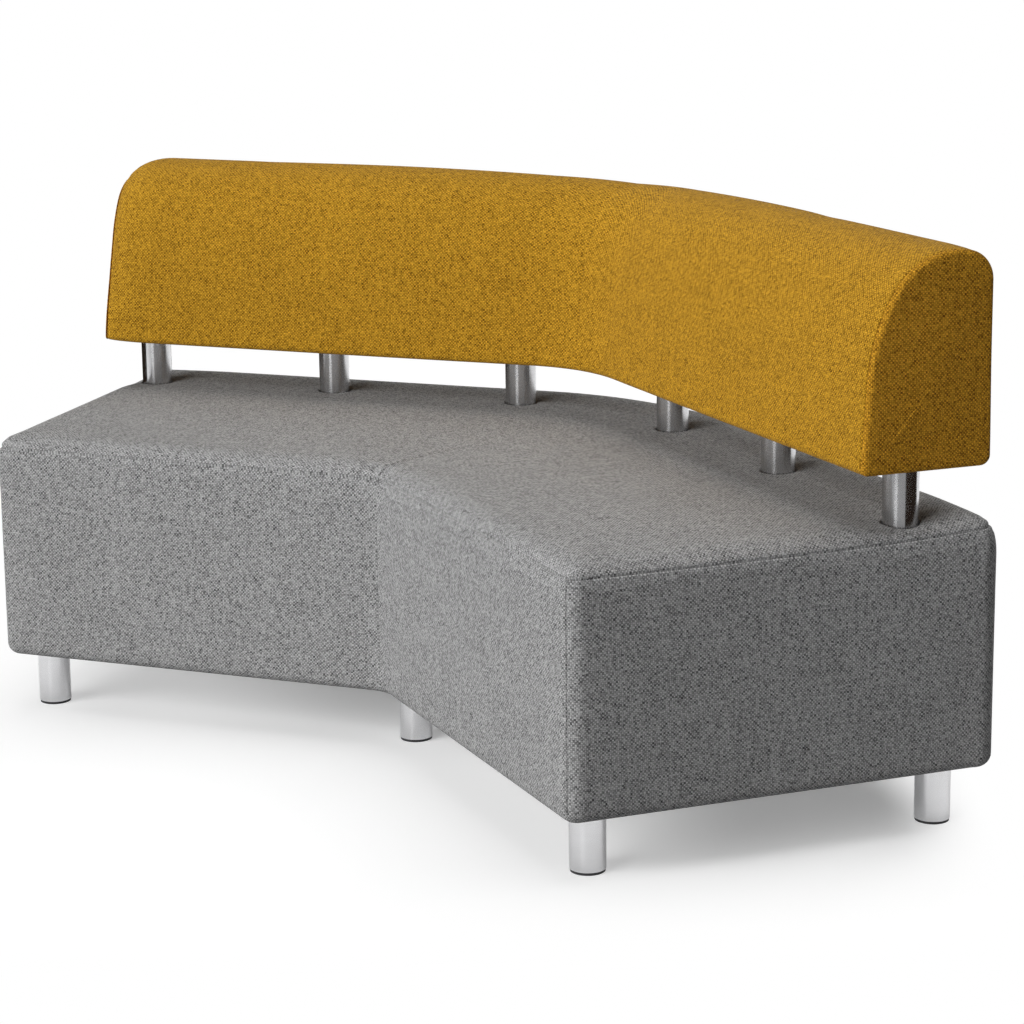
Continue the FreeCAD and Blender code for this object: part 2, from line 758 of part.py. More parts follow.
plank_front = f"(back_front + {FOAM_INSET} + back_foam_front)"
plank_rear = f"(back_rear - {FOAM_INSET} - back_foam_rear)"
board_right = back_plank("back_board_right", plank_front, plank_rear, BACK_BOARD_BOTTOM, BACK_BOARD_TOP)
spine_front, spine_top = f"({plank_rear} - spine_board)", "(back_top - back_foam_top)"
spine_right = back_plank("back_spine_right", spine_front, plank_rear, BACK_BOARD_TOP, spine_top)
board_whole = boolean("Fuse", "back_board_whole", board_right, mirror("back_board_left", board_right))
keep("back_board", cut("back_board", board_whole, rod_drill))
keep_joined("back_spine", spine_right)

back_outer = back_form("back_outer", "0")
back_inner = back_form("back_inner", "cloth")
back_skin = cut("back_skin", back_outer, back_inner)
end_block = plan_solid("back_end_block", end_outline("cloth"), {}, "0", ABOVE_ALL)
keep_pair("back_end_cover", common("back_end_cover_right", back_skin, end_block))
keep_pair("back_cover", cut("back_cover_right", back_skin, end_block, post_drill))

nut_room = drill(
    "nut_room_drill",
    right_posts,
    "nut_flange / 2 + nut_room",
    BACK_BOARD_TOP,
    f"{BACK_BOARD_TOP} + {nut_stack} + nut_room",
)
back_filling = back_form("back_filling", FOAM_INSET)
keep_pair("back_foam", cut("back_foam_right", back_filling, board_right, spine_right, nut_room))

# Test every object and write the nodes

doc.recompute()
for thing in doc.Objects:
    if "Invalid" in thing.State or "Error" in thing.State:
        raise RuntimeError(f"{thing.Name} failed: {thing.State}")
for name, thing in nodes.items():
    if thing.Shape.isNull() or not thing.Shape.isValid() or not thing.Shape.Solids:
        raise RuntimeError(f"{name} has no valid solid")

os.makedirs("parts", exist_ok=True)
for name, thing in nodes.items():
    thing.Shape.exportStep(f"parts/{name}.step")
    print(f"{name}: {len(thing.Shape.Solids)} solid(s), {thing.Shape.Volume / 1000:.1f} cm3")
print(len(nodes), "nodes")
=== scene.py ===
import json
import math

import bpy
import numpy as np
from bpy.props import FloatProperty, FloatVectorProperty, PointerProperty
from mathutils import Matrix, Vector


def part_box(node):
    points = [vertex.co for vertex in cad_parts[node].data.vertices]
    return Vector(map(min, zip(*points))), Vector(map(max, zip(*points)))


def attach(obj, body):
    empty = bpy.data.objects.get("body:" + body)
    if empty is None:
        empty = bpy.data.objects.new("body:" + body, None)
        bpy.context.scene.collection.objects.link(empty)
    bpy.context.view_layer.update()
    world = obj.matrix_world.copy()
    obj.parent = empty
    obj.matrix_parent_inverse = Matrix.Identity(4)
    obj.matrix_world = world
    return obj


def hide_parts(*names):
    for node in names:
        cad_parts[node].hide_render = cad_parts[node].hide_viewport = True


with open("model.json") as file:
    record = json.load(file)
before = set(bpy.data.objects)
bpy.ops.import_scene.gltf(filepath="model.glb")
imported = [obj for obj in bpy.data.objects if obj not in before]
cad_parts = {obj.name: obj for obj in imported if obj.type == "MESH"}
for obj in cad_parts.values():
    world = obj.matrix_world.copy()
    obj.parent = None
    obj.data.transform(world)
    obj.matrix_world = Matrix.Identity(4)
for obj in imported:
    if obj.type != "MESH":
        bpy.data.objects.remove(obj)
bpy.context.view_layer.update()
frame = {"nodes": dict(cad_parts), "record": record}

bl_info = {
    "name": "Bent bench sofa",
    "version": (1, 0, 0),
    "blender": (4, 5, 0),
    "location": "View3D > Sidebar > Sofa",
    "description": "Upholstery, metalwork and studio of a two-wing bench sofa",
    "category": "Object",
}

SOFA = "sofa"
WEAVE_MAP = "weave"
LEFT_CUT = (1.0017, 1.4985)  # metres along and across the bolt, from which the left wing is cut
SIDES = (("right", 1), ("left", -1))
QUARTER = math.pi / 2
WHITE = (1.0, 1.0, 1.0)
# The ends' cloth is a redder copy of the mustard weave: painted shade for the backrest's shaded end panels.
CLOTHS = {"seat": "grey_weave", "back": "mustard_weave", "end": "mustard_weave_shaded_ends"}

# Counts of points
ROLL_STEPS = 5  # across the rounding beside a seam
LIP_STEPS = 8  # across each rounding at the seam round a backrest end
RIM_RINGS = 2 * LIP_STEPS - 1  # from that seam to the plane of the end panel
INNER_RINGS = 10  # from there towards the end panel's centre
EDGE_STEPS = 8  # round the lower edge of the seat
BEND_STEPS = 16  # round half of the backrest's bend
HOLE_RINGS = 3  # round a post's hole, before the cloth rolls down
OUTLINE_STEPS = 1500  # round a wing, to measure how far in from its outline a point lies
CROWN_STEPS = 200  # over the crown, to lay out its cloth

# Parts of a size
FRONT_SEAM, REAR_SEAM = 0.35, 0.75  # where in the end's corners the side panels meet
NEAR_ROLLS = np.array([1.6, 2.6, 4.0])  # distances from a seam, in rolls, that have a point of their own
EASE_ROLLS = 4  # distance, in rolls, at which the top panel has left its seam
MITRE_ROLLS = 1.3  # width, in rolls, of the rounding beside the mitre
FOLD = 0.001  # how far in the crown starts, in metres
HOLE_WINDOW = 1.7  # half of the square that is left out round a post, in radii
HOLE_HOLD = 1.2  # how far round a post the top does not swell, in radii
LEAST_ROUNDING = 0.10  # part of its rounding that the backrest takes at its underside
ROUNDING_HEIGHT = 0.6  # part of the backrest's height at which it takes all of it
REAR_LIFT_POWER = 5  # how late the rear's lift sets in over the depth

# Cloth simulation
SWELL_FRAMES = 20
SWELL_QUALITY = 6
STRETCH_STIFFNESS = 25
BEND_STIFFNESS = 2
SWELL_PASSES = 4  # averagings of a grid's swell
RING_PASSES = 60  # averagings of an end panel's swell

# Finishes
WANDER_SCALE, JITTER_SCALE = 38.0, 170.0  # waves per metre of the threads' slow and quick wandering
WANDER_ACROSS, WANDER_ALONG, JITTER = 0.9, 0.7, 0.8  # how far they wander, in pitches
OVER_EDGE = 0.45  # how softly one thread goes under another
YARN_TONE, OVER_TONE, SLUB_TONE, CROSSING_TONE = 1.75, 0.44, 0.14, 0.42  # how much each tells
BOND_PITCH = 0.003  # metres between the lining's bond points
PLY = 0.0015  # metres through a ply

# Studio
SENSOR = 36.0  # width in millimetres
FLOOR_REACH = 60.0
FLAG_SIZE = (0.9, 2.0)  # width and height of a card
STRIP_SIZE = (2.2, 6.0)
SLAT_SIZE = (0.30, 2.0)
SCREEN_SIZE = (2.6, 2.0)
PICTURE_WAY = (0.727, 0.687)  # the way on the floor that runs across the picture

# Metres from the sofa's middle between which the floor changes, all round, across or towards the camera
FADE_ROUND = (1.9, 3.4)  # fades to white
# Beside the right end, the fade paints out the sofa's shadow on the floor.
FADE_RIGHT, FADE_LEFT, FADE_FRONT = (0.57, 0.73), (0.55, 0.95), (0.62, 1.00)
# Painted fill light: the floor's shadow before the sofa and on its left is lifted towards white.
FILL_RIGHT, FILL_LEFT, FILL_FRONT = (0.10, 0.40), (0.15, 0.50), (0.00, 0.25)  # is lifted to white
LEFT_FILL = 0.7  # part of the lift behind on the left
# Painted dark reflection: the chrome sees the floor before the sofa darker than it is.
DUSK_FRONT = (1.0, 1.8)  # darkens in the chrome


# Sizes and colours that a user would change


def length(name, description, default):
    return FloatProperty(name=name, description=description, default=default, unit="LENGTH", precision=4)


def pair(name, description, default):
    return FloatVectorProperty(
        name=name, description=description, default=default, size=2, unit="LENGTH", precision=4
    )


def turn(name, description, degrees):
    return FloatProperty(
        name=name, description=description, default=math.radians(degrees), subtype="ANGLE", unit="ROTATION"
    )


def share(name, description, default):
    return FloatProperty(name=name, description=description, default=default, min=0.0, subtype="FACTOR")


def spot(name, description, default):
    return FloatVectorProperty(
        name=name, description=description, default=default, subtype="XYZ", unit="LENGTH"
    )


def way(name, description, default):
    return FloatVectorProperty(name=name, description=description, default=default, subtype="DIRECTION")


def colour(name, description, default):
    return FloatVectorProperty(
        name=name, description=description, default=default, size=3, min=0.0, max=1.0, subtype="COLOR"
    )


class SofaSeatSizes(bpy.types.PropertyGroup):
    """Plan, levels and padding of the seat"""

    half_turn: turn("Half turn", "How far each wing turns out of the straight line", 22.5)
    end_splay: turn("End splay", "How far the free end leans outwards from square", 3.5)
    front_length: length("Front length", "Front edge of a wing, from the inner corner to the end", 0.650)
    seat_depth: length("Seat depth", "Front edge to rear edge", 0.620)
    front_bend: length("Front bend", "Radius of the inner corner", 0.060)
    rear_bend: length("Rear bend", "Radius of the rear edge round the middle", 0.480)
    corner_radius: length("Corner radius", "Upright corners of the free end", 0.020)
    base_level: length("Base level", "Underside of the seat above the floor", 0.085)
    bottom_radius: length("Bottom radius", "Rounding of the lower edge", 0.018)
    hem: length("Hem", "How far the cloth is turned under the base", 0.0195)
    seam_level: length("Seam level", "Top seam above the floor", 0.415)
    crown_rise: length("Crown rise", "How far the top stands above its seam", 0.021)
    crown_width: length("Crown width", "How far in from the seam the crown rises", 0.045)
    left_crown: length("Left crown", "How far in from the left end's seam the crown rises", 0.030)
    rear_crown: length("Rear crown", "How far in from the rear seam the crown rises", 0.045)
    rear_ease: length("Rear ease", "Length over which the crown turns into the rear crown", 0.120)
    rear_power: FloatProperty(
        name="Rear power", description="How square the crown is at the rear", default=3.2
    )
    front_full: length("Front fullness", "How far the front panel stands out below its seam", 0.005)
    end_full: length("End fullness", "How far the end panel stands out below its seam", 0.004)
    rear_full: length("Rear fullness", "How far the rear panel stands out below its seam", 0.014)
    shoulder: length("Shoulder", "Height over which a side panel rounds up to its seam", 0.040)
    top_swell: length("Top swell", "Most that the top panel swells between its seams", 0.005)
    side_swell: length("Side swell", "Most that a side panel swells between its seams", 0.004)
    rear_lift: length("Rear lift", "How much higher the seat stands at the rear of its middle", 0.003)
    right_lift: pair("Right lift", "How much higher the right end stands, front and rear", (0.0, 0.011))
    left_lift: pair("Left lift", "How much higher the left end stands, front and rear", (0.003, 0.001))
    dimple: length("Dimple", "How deep the top lies round the outer post", 0.006)
    dimple_reach: length("Dimple reach", "How far the top falls towards the outer post", 0.090)
    mitre_depth: length("Mitre depth", "Dip of the seam between the two top panels", 0.0045)
    mitre_reach: length("Mitre reach", "How far back the seam between the top panels shows", 0.240)


class SofaBackSizes(bpy.types.PropertyGroup):
    """Section and bend of the backrest"""

    front: length("Front", "Depth of the lower front edge", 0.415)
    rear: length("Rear", "Depth of the rear face", 0.608)
    bottom: length("Bottom", "Underside above the floor", 0.514)
    top: length("Top", "Crest above the floor", 0.811)
    crest: length("Crest", "Depth of the crest", 0.551)
    lean: turn("Lean", "Lean of the front face", 3.0)
    face_radius: length("Face radius", "Rounding of the front face", 0.250)
    crown_radius: length("Crown radius", "Rounding of the crest", 0.108)
    rear_radius: length("Rear radius", "Rounding of the upper rear edge", 0.044)
    end_full: length("End fullness", "How far the end stands out", 0.0065)
    right_round: length("Right rounding", "Rounding of the right end panel towards its seam", 0.0075)
    left_round: length("Left rounding", "Rounding of the left end panel towards its seam", 0.0005)
    heel_radius: length("Heel radius", "Rounding of the lower rear edge", 0.015)
    toe_radius: length("Toe radius", "Rounding of the lower front edge", 0.010)
    bend: length("Bend", "Radius of the front face round the middle", 0.230)
    right_dip: length("Right dip", "How far the right wrap rounds down to its end seam", 0.004)
    left_dip: length("Left dip", "How far the left wrap rounds down to its end seam", 0.044)
    end_reach: length("End reach", "Length over which it rounds down to its end seam", 0.076)
    middle_dip: length("Middle dip", "How far the wrap falls to the middle seam", 0.012)
    middle_reach: length("Middle reach", "Length over which it falls to the middle seam", 0.450)
    swell: length("Swell", "Most that the wrap swells between its seams", 0.003)
    end_swell: length("End swell", "Most that an end panel swells", 0.004)


class SofaSeamSizes(bpy.types.PropertyGroup):
    """Sewn seams, and the edges of the holes for the posts"""

    depth: length("Depth", "How deep the cloth rolls into a seam", 0.0019)
    front_depth: length("Front depth", "How deep the cloth rolls into the seams of the front", 0.0021)
    rear_depth: length("Rear depth", "How deep the cloth rolls into the seams of the rear", 0.0007)
    middle_depth: length("Middle depth", "How deep the fronts roll into the seam between them", 0.0007)
    fade: length("Fade", "Length over which the end's seam flattens towards the rear", 0.120)
    roll: length("Roll", "Width of the rounding beside a seam", 0.0018)
    lip: length("Lip", "Rounding of both cloths at the seam round a backrest end", 0.0007)
    lip_depth: length("Lip depth", "How deep the seam round a backrest end is", 0.0075)
    slit: length("Slit", "Width of the seam round a backrest end", 0.0023)
    post_gap: length("Post gap", "Room between a post and the cloth round it", 0.0012)
    post_roll: length("Post roll", "Width of the rounding beside a post", 0.0030)
    post_dip: length("Post dip", "How deep the cloth rolls in beside a post", 0.0045)
    cell: length("Cell", "Spacing of the surfaces' points", 0.0085)
    sample: length("Sample", "Spacing of the points that are simulated as cloth", 0.0150)
    push: share("Push", "Pressure of the padding in the cloth simulation", 4.0)


class SofaLooks(bpy.types.PropertyGroup):
    """Colours and finishes"""

    pitch: length("Thread pitch", "Spacing of the threads of both cloths", 0.0027)
    seat_light: colour("Seat light thread", "Lightest thread of the grey cloth", (0.57, 0.57, 0.57))
    seat_dark: colour("Seat dark thread", "Darkest thread of the grey cloth", (0.065, 0.065, 0.065))
    back_light: colour("Back light thread", "Lightest thread of the mustard cloth", (0.728, 0.392, 0.031))
    back_dark: colour("Back dark thread", "Darkest thread of the mustard cloth", (0.125, 0.055, 0.0033))
    # Painted shade: the ends' threads are a redder copy of the back's, standing in for the shade on the
    # backrest's end panels.
    end_light: colour("End light thread", "Lightest thread of the ends' cloth", (0.762, 0.385, 0.031))
    end_dark: colour("End dark thread", "Darkest thread of the ends' cloth", (0.131, 0.054, 0.0033))
    chrome: colour("Chrome", "Satin chrome of posts and legs", (0.70, 0.70, 0.71))
    nylon: colour("Nylon", "Moulded glides and inserts", (0.012, 0.012, 0.013))
    lining: colour("Lining", "Spun lining under the seat", (0.014, 0.014, 0.015))
    ply_light: colour("Plywood light", "Pale growth of the birch face", (0.60, 0.44, 0.27))
    ply_dark: colour("Plywood dark", "Dark growth of the birch face", (0.42, 0.27, 0.14))
    zinc: colour("Zinc", "Plated fixings", (0.56, 0.57, 0.60))


class SofaStudio(bpy.types.PropertyGroup):
    """Camera, light and floor"""

    eye: spot("Eye", "Place of the camera", (2.958, -3.0396, 1.3614))
    yaw: turn("Yaw", "Turn of the view to the left of straight back", 43.367)
    pitch: turn("Pitch", "Fall of the view below the horizon", 12.869)
    roll: turn("Roll", "Tilt of the camera", -0.647)
    lens: FloatProperty(name="Lens", description="Focal length in millimetres", default=100.025)
    shift: FloatVectorProperty(
        name="Shift", description="Shift of the frame", default=(-0.00089, -0.03907), size=2
    )
    key: share("Key", "Strength of the low light before the sofa", 3.18)
    key_way: way("Key way", "Where the low light comes from", (-0.185, -0.933, 0.309))
    key_spread: turn("Key spread", "Breadth of the low light", 50.0)
    top: share("Top light", "Strength of the light over the sofa", 1.50)
    top_way: way("Top way", "Where the light over the sofa comes from", (0.016, 0.30, 0.954))
    top_spread: turn("Top spread", "Breadth of the light over the sofa", 60.0)
    rear: share("Rear light", "Strength of the level light behind the sofa", 1.25)
    rear_way: way("Rear way", "Where the light behind the sofa comes from", (-0.20, 0.98, 0.02))
    rear_spread: turn("Rear spread", "Breadth of the light behind the sofa", 14.0)
    sky: share("Sky", "Strength of the even light all round", 0.01)
    floor_bounce: colour("Floor bounce", "Floor as the sofa sees it", (0.25, 0.25, 0.25))
    # Painted dark reflection: the floor before the sofa as the chrome sees it is darker than it is.
    floor_dusk: share("Floor dusk", "Floor before the sofa as the chrome sees it", 0.30)
    sky_shine: share("Sky shine", "Surroundings as the chrome sees them", 0.42)
    floor: colour("Floor", "Floor as the camera sees it", WHITE)
    flag: colour("Flag", "Colour of the dark card that the chrome mirrors", (0.022, 0.015, 0.011))
    flag_place: spot("Flag place", "Dark card that the chrome mirrors", (1.42, 0.16, 0.0))
    slat_place: spot("Slat place", "Narrow dark card behind on the right", (1.20, 0.57, 0.0))
    screen_place: spot("Screen place", "Broad dark card on the left", (-1.6, 0.10, 0.0))
    strip: share("Strip", "Brightness of the card that the chrome mirrors", 3.6)
    strip_place: spot("Strip place", "Bright card that the chrome mirrors", (1.70, -6.80, 0.0))
    floor_glow: share("Floor glow", "Light that the camera sees from the floor itself", 0.245)
    # Painted fill light on the floor's shadow before the sofa.
    floor_fill: share("Floor fill", "How far the floor before the sofa is lifted to white", 0.36)


# Paths and panels


def running(lengths):
    """Lengths added up from nought along the first axis."""
    sums = np.cumsum(lengths, axis=0)
    return np.concatenate([np.zeros_like(sums[:1]), sums])


def crowded(width):
    """Distances from a seam over the rounding beside it, closest at the seam."""
    return width * (1 - np.cos(np.linspace(0, QUARTER, ROLL_STEPS)))


class Path:
    """A plane curve of arcs joined by straights, with its inward normals and its lengths.

    A point of an arc is its centre plus the radius times the cosine and sine of the angle, and its normal
    is the same direction, taken towards the sofa. Steps are spaced by length plus a length for each turn.
    """

    STEPS = 49
    LENGTH_PER_TURN = 0.05

    def __init__(self, arcs):
        points, normals = [], []
        for centre, radius, first, last, inward in arcs:
            angles = np.linspace(first, last, self.STEPS)
            way = np.stack([np.cos(angles), np.sin(angles)], -1)
            points.append(np.asarray(centre) + radius * way)
            normals.append(inward * way)
        self.points = np.concatenate(points)
        self.normals = np.concatenate(normals)
        runs = np.linalg.norm(np.diff(self.points, axis=0), axis=1)
        turns = np.linalg.norm(np.diff(self.normals, axis=0), axis=1)
        self.lengths = running(runs)
        self.spacing = running(runs + self.LENGTH_PER_TURN * turns)

    def mark(self, arc, part):
        """The length run at a part of one of the arcs."""
        return self.lengths[arc * self.STEPS + round(part * (self.STEPS - 1))]

    def corners(self):
        """The lengths run at the start and end of the seat's two end corners."""
        return [self.mark(arc, part) for arc in (1, 2) for part in (0, 1)]

    def at(self, lengths):
        """Points and unit normals at lengths along the curve."""
        points, normals = (
            np.stack([np.interp(lengths, self.lengths, column) for column in table.T], -1)
            for table in (self.points, self.normals)
        )
        return points, normals / np.linalg.norm(normals, axis=-1, keepdims=True)

    def steps(self, start, end, cell, roll):
        """Lengths from one seam to the next, closer on arcs and crowded into the roll at both ends."""
        crowd = crowded(roll)
        inner = np.interp([start + roll, end - roll], self.lengths, self.spacing)
        count = max(3, round((inner[1] - inner[0]) / cell))
        middle = np.interp(np.linspace(*inner, count), self.spacing, self.lengths)
        return np.concatenate([start + crowd[:-1], middle, end - crowd[-2::-1]])


def rolled(reach, width):
    """How far a surface has sunk at a distance from a seam.

    It is a quarter ellipse, one at the seam and nought at the width.
    """
    left = np.clip(1 - reach / width, 0, 1)
    return 1 - np.sqrt(1 - left**2)


def plan_shift(seat):
    """How far the plan moves so that its box is centred on the origin."""
    reach = seat.front_length + seat.corner_radius * (math.tan(seat.end_splay) - 1 / math.cos(seat.end_splay))
    front = reach * math.sin(seat.half_turn) + seat.corner_radius * (1 - math.cos(seat.half_turn))
    rear = (seat.seat_depth - seat.rear_bend) / math.cos(seat.half_turn) + seat.rear_bend
    return (front - rear) / 2


def in_plan(seat, along, depth):
    """Turn lengths along and across the right wing into the sofa's plan."""
    sine, cosine = math.sin(seat.half_turn), math.cos(seat.half_turn)
    return np.stack([along * cosine + depth * sine, depth * cosine - along * sine + plan_shift(seat)], -1)


def end_along(seat, depth, inset=0.0):
    """Where the splayed end lies along the wing at a depth, drawn in by an inset."""
    return seat.front_length + depth * math.tan(seat.end_splay) - inset / math.cos(seat.end_splay)


def wing_path(seat):
    """The right wing's outline from the middle round the front, the end and the rear to the middle."""
    radius, depth, tangent = seat.corner_radius, seat.seat_depth, math.tan(seat.half_turn)
    rear = depth - radius
    bend_depth = depth - seat.rear_bend
    full = QUARTER + seat.half_turn
    places = (
        (seat.front_bend * tangent, -seat.front_bend),
        (end_along(seat, radius, radius), radius),
        (end_along(seat, rear, radius), rear),
        (-bend_depth * tangent, bend_depth),
    )
    spans = (
        (seat.front_bend, full, QUARTER, 1),
        (radius, -QUARTER, -seat.end_splay, -1),
        (radius, -seat.end_splay, QUARTER, -1),
        (seat.rear_bend, QUARTER, full, -1),
    )
    arcs = []
    for (along, across), (bend, first, last, inward) in zip(places, spans):
        centre = in_plan(seat, np.float64(along), np.float64(across))
        arcs.append((centre, bend, first - seat.half_turn, last - seat.half_turn, inward))
    return Path(arcs)


def grid_faces(rows, columns):
    """Quads of a grid whose points are numbered row by row."""
    corner = np.arange(rows - 1)[:, None] * columns + np.arange(columns - 1)
    return np.stack([corner, corner + columns, corner + columns + 1, corner + 1], -1).reshape(-1, 4)


def face_lists(faces, side):
    """Faces as lists, with three corners where two of the four are one, and turned over for the left wing."""
    pointed = faces[:, 1] == faces[:, 2]
    fans = faces[pointed][:, [0, 1, 3]]
    return faces[~pointed][:, ::side].tolist() + fans[:, ::side].tolist()


def spread(table, rows, columns, row, column):
    """Read a coarse table at places of the fine grid, straight between its rows and columns."""
    high = np.clip(np.searchsorted(rows, row, side="right") - 1, 0, len(rows) - 2)
    wide = np.clip(np.searchsorted(columns, column, side="right") - 1, 0, len(columns) - 2)
    down = ((row - rows[high]) / (rows[high + 1] - rows[high]))[..., None]
    over = ((column - columns[wide]) / (columns[wide + 1] - columns[wide]))[..., None]
    upper = table[high, wide] * (1 - over) + table[high, wide + 1] * over
    lower = table[high + 1, wide] * (1 - over) + table[high + 1, wide + 1] * over
    return upper * (1 - down) + lower * down


def softened(table):
    """Average each row and column with its neighbours, and leave the border."""
    for _ in range(SWELL_PASSES):
        table = table.copy()
        table[1:-1] = (table[:-2] + 2 * table[1:-1] + table[2:]) / 4
        table[:, 1:-1] = (table[:, :-2] + 2 * table[:, 1:-1] + table[:, 2:]) / 4
    return table


def ring_softened(shift, held):
    """Average the rings of an end panel round their loops and across, and keep the held ones."""
    rim = RIM_RINGS
    count = np.count_nonzero(held) // rim
    rings = shift[:-1].reshape(-1, count, 3)
    for _ in range(RING_PASSES):
        rings = (np.roll(rings, 1, axis=1) + 2 * rings + np.roll(rings, -1, axis=1)) / 4
        rings[rim:-1] = (rings[rim - 1 : -2] + 2 * rings[rim:-1] + rings[rim + 1 :]) / 4
    return np.concatenate([rings.reshape(-1, 3), rings[-1].mean(0, keepdims=True)])


def cloth_swell(points, faces, held, push, most):
    """Blow a sheet of cloth up from below while its seams are held, and return how far each point moved."""
    mesh = bpy.data.meshes.new("cloth_trial")
    mesh.from_pydata(points.tolist(), [], face_lists(faces, 1))
    trial = bpy.data.objects.new("cloth_trial", mesh)
    scene = bpy.context.scene
    scene.collection.objects.link(trial)
    pins = trial.vertex_groups.new(name="seams")
    pins.add(np.flatnonzero(held).tolist(), 1.0, "REPLACE")
    cloth = trial.modifiers.new("cloth", "CLOTH")
    settings = cloth.settings
    settings.vertex_group_mass = pins.name
    settings.quality = SWELL_QUALITY
    settings.use_pressure = True
    settings.uniform_pressure_force = push
    settings.effector_weights.gravity = 0
    settings.tension_stiffness = settings.compression_stiffness = STRETCH_STIFFNESS
    settings.bending_stiffness = BEND_STIFFNESS
    cloth.collision_settings.use_collision = False
    cloth.point_cache.frame_start = 1
    cloth.point_cache.frame_end = SWELL_FRAMES
    for step in range(1, SWELL_FRAMES + 1):
        scene.frame_set(step)
    shaped = trial.evaluated_get(bpy.context.evaluated_depsgraph_get())
    moved = np.empty(len(points) * 3, np.float32)
    shaped.data.vertices.foreach_get("co", moved)
    scene.frame_set(1)
    bpy.data.objects.remove(trial)
    bpy.data.meshes.remove(mesh)
    shift = moved.reshape(-1, 3) - points
    shift[held] = 0
    reach = np.linalg.norm(shift, axis=1).max()
    return shift * (most / reach if reach > most else 1.0)


def sampled(count, part):
    """Numbers of a part of the rows or columns of a grid, with the first and the last."""
    return np.unique(np.round(np.linspace(0, count - 1, max(4, round(count * part)))).astype(int))


def grid_swell(points, seams, most, held=None):
    """Swell a grid as cloth on every few rows and columns, and spread the result over all of it."""
    rows, columns = (sampled(count, seams.cell / seams.sample) for count in points.shape[:2])
    coarse = points[np.ix_(rows, columns)]
    fixed = np.zeros(coarse.shape[:2], bool)
    fixed[[0, -1]] = fixed[:, [0, -1]] = True
    if held is not None:
        fixed |= held[np.ix_(rows, columns)]
    shift = cloth_swell(
        coarse.reshape(-1, 3), grid_faces(*fixed.shape), fixed.ravel(), seams.push, most
    ).reshape(coarse.shape)
    row, column = np.meshgrid(*(np.arange(count) for count in points.shape[:2]), indexing="ij")
    return softened(spread(shift, rows, columns, row, column))


def make_piece(name, points, faces, weave, side, finish, slot):
    """Put a right wing's surface, or its mirror image, into a mesh with a weave map in metres.

    The left wing's cloth is cut elsewhere on the bolt, so that its weave is not a mirror image.
    """
    used, faces = np.unique(faces, return_inverse=True)
    faces = faces.reshape(-1, 4)
    points = points[used] * (side, 1, 1)
    mesh = bpy.data.meshes.new(name)
    mesh.from_pydata(points.tolist(), [], face_lists(faces, side))
    layer = mesh.uv_layers.new(name=WEAVE_MAP)
    corners = np.empty(len(mesh.loops), np.int32)
    mesh.loops.foreach_get("vertex_index", corners)
    cut = np.zeros(2) if side > 0 else np.array(LEFT_CUT)
    layer.data.foreach_set("uv", (weave[used] + cut)[corners].astype(np.float32).ravel())
    mesh.polygons.foreach_set("use_smooth", np.ones(len(mesh.polygons), bool))
    mesh.materials.append(finish)
    piece = bpy.data.objects.new(name, mesh)
    bpy.context.scene.collection.objects.link(piece)
    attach(piece, SOFA)
    return piece


def joined(*parts):
    """Put several surfaces of points, faces and weave places one after another."""
    points, faces, weave, count = [], [], [], 0
    for part_points, part_faces, part_weave in parts:
        points.append(part_points)
        faces.append(part_faces + count)
        weave.append(part_weave)
        count += len(part_points)
    return np.concatenate(points), np.concatenate(faces), np.concatenate(weave)


def pierced(points, weave, shift, holes, radius, seams):
    """Close round holes into a level grid.

    A square window of cells is left out round each hole. It is filled with rings: a point of a ring lies on
    the straight from the hole's centre to a point of the window's edge, and the last rings roll down.
    """
    count, across = points.shape[:2]
    cells = np.ones((count - 1, across - 1), bool)
    numbers = np.arange(count * across).reshape(count, across)
    fields = np.concatenate([points + shift, weave], -1)
    parts_points = [fields[..., :3].reshape(-1, 3)]
    parts_weave = [weave.reshape(-1, 2)]
    parts_faces = []
    total = count * across
    rim = radius + seams.post_gap
    roll = crowded(seams.post_roll)[::-1]
    for hole in holes:
        gap = np.linalg.norm(points[..., :2] - hole, axis=-1)
        row, column = np.unravel_index(gap.argmin(), gap.shape)
        half = math.ceil(HOLE_WINDOW * radius / seams.cell)
        cells[row - half : row + half, column - half : column + half] = False
        line = np.arange(-half, half)
        edge = np.full(2 * half, half)
        rows = row + np.concatenate([line, edge, -line, -edge])
        columns = column + np.concatenate([-edge, line, edge, -line])
        out = points[rows, columns, :2] - hole
        far = np.linalg.norm(out, axis=1)
        parts = np.concatenate([np.linspace(1, 0, HOLE_RINGS + 2)[1:-1], np.zeros(ROLL_STEPS)])
        reach = rim + np.concatenate([np.full(HOLE_RINGS, seams.post_roll), roll])
        distance = parts[:, None] * far + (1 - parts[:, None]) * reach[:, None]
        place = distance / far
        across_cell = points[[row + 1, row], [column, column + 1], :2] - points[row, column, :2]
        centre = (row, column) + np.linalg.solve(across_cell.T, hole - points[row, column, :2])
        spots = (middle + (edges - middle) * place for middle, edges in zip(centre, (rows, columns)))
        ring = spread(fields, np.arange(count), np.arange(across), *spots)
        ring[..., :2] = hole + out * place[..., None]
        ring[..., 2] -= seams.post_dip * rolled(distance - rim, seams.post_roll)
        parts_points.append(ring[..., :3].reshape(-1, 3))
        parts_weave.append(ring[..., 3:].reshape(-1, 2))
        rings = total + np.arange(distance.size).reshape(distance.shape)
        loop = np.concatenate([numbers[rows, columns][None], rings])
        after = np.roll(loop, -1, axis=1)
        parts_faces.append(np.stack([loop[:-1], after[:-1], after[1:], loop[1:]], -1).reshape(-1, 4))
        total += distance.size
    plain = grid_faces(count, across)[cells.ravel()]
    return np.concatenate(parts_points), np.concatenate([plain, *parts_faces]), np.concatenate(parts_weave)


def post_places():
    """Plan places of the right wing's posts, and their radius, as the frame has them."""
    places, radius = [], 0.0
    for word in ("inner", "middle", "outer"):
        low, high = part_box(f"post_right_{word}")
        places.append(np.array((low + high) / 2)[:2])
        radius = (high - low).x / 2
    return places, radius


# Shapes of the upholstery


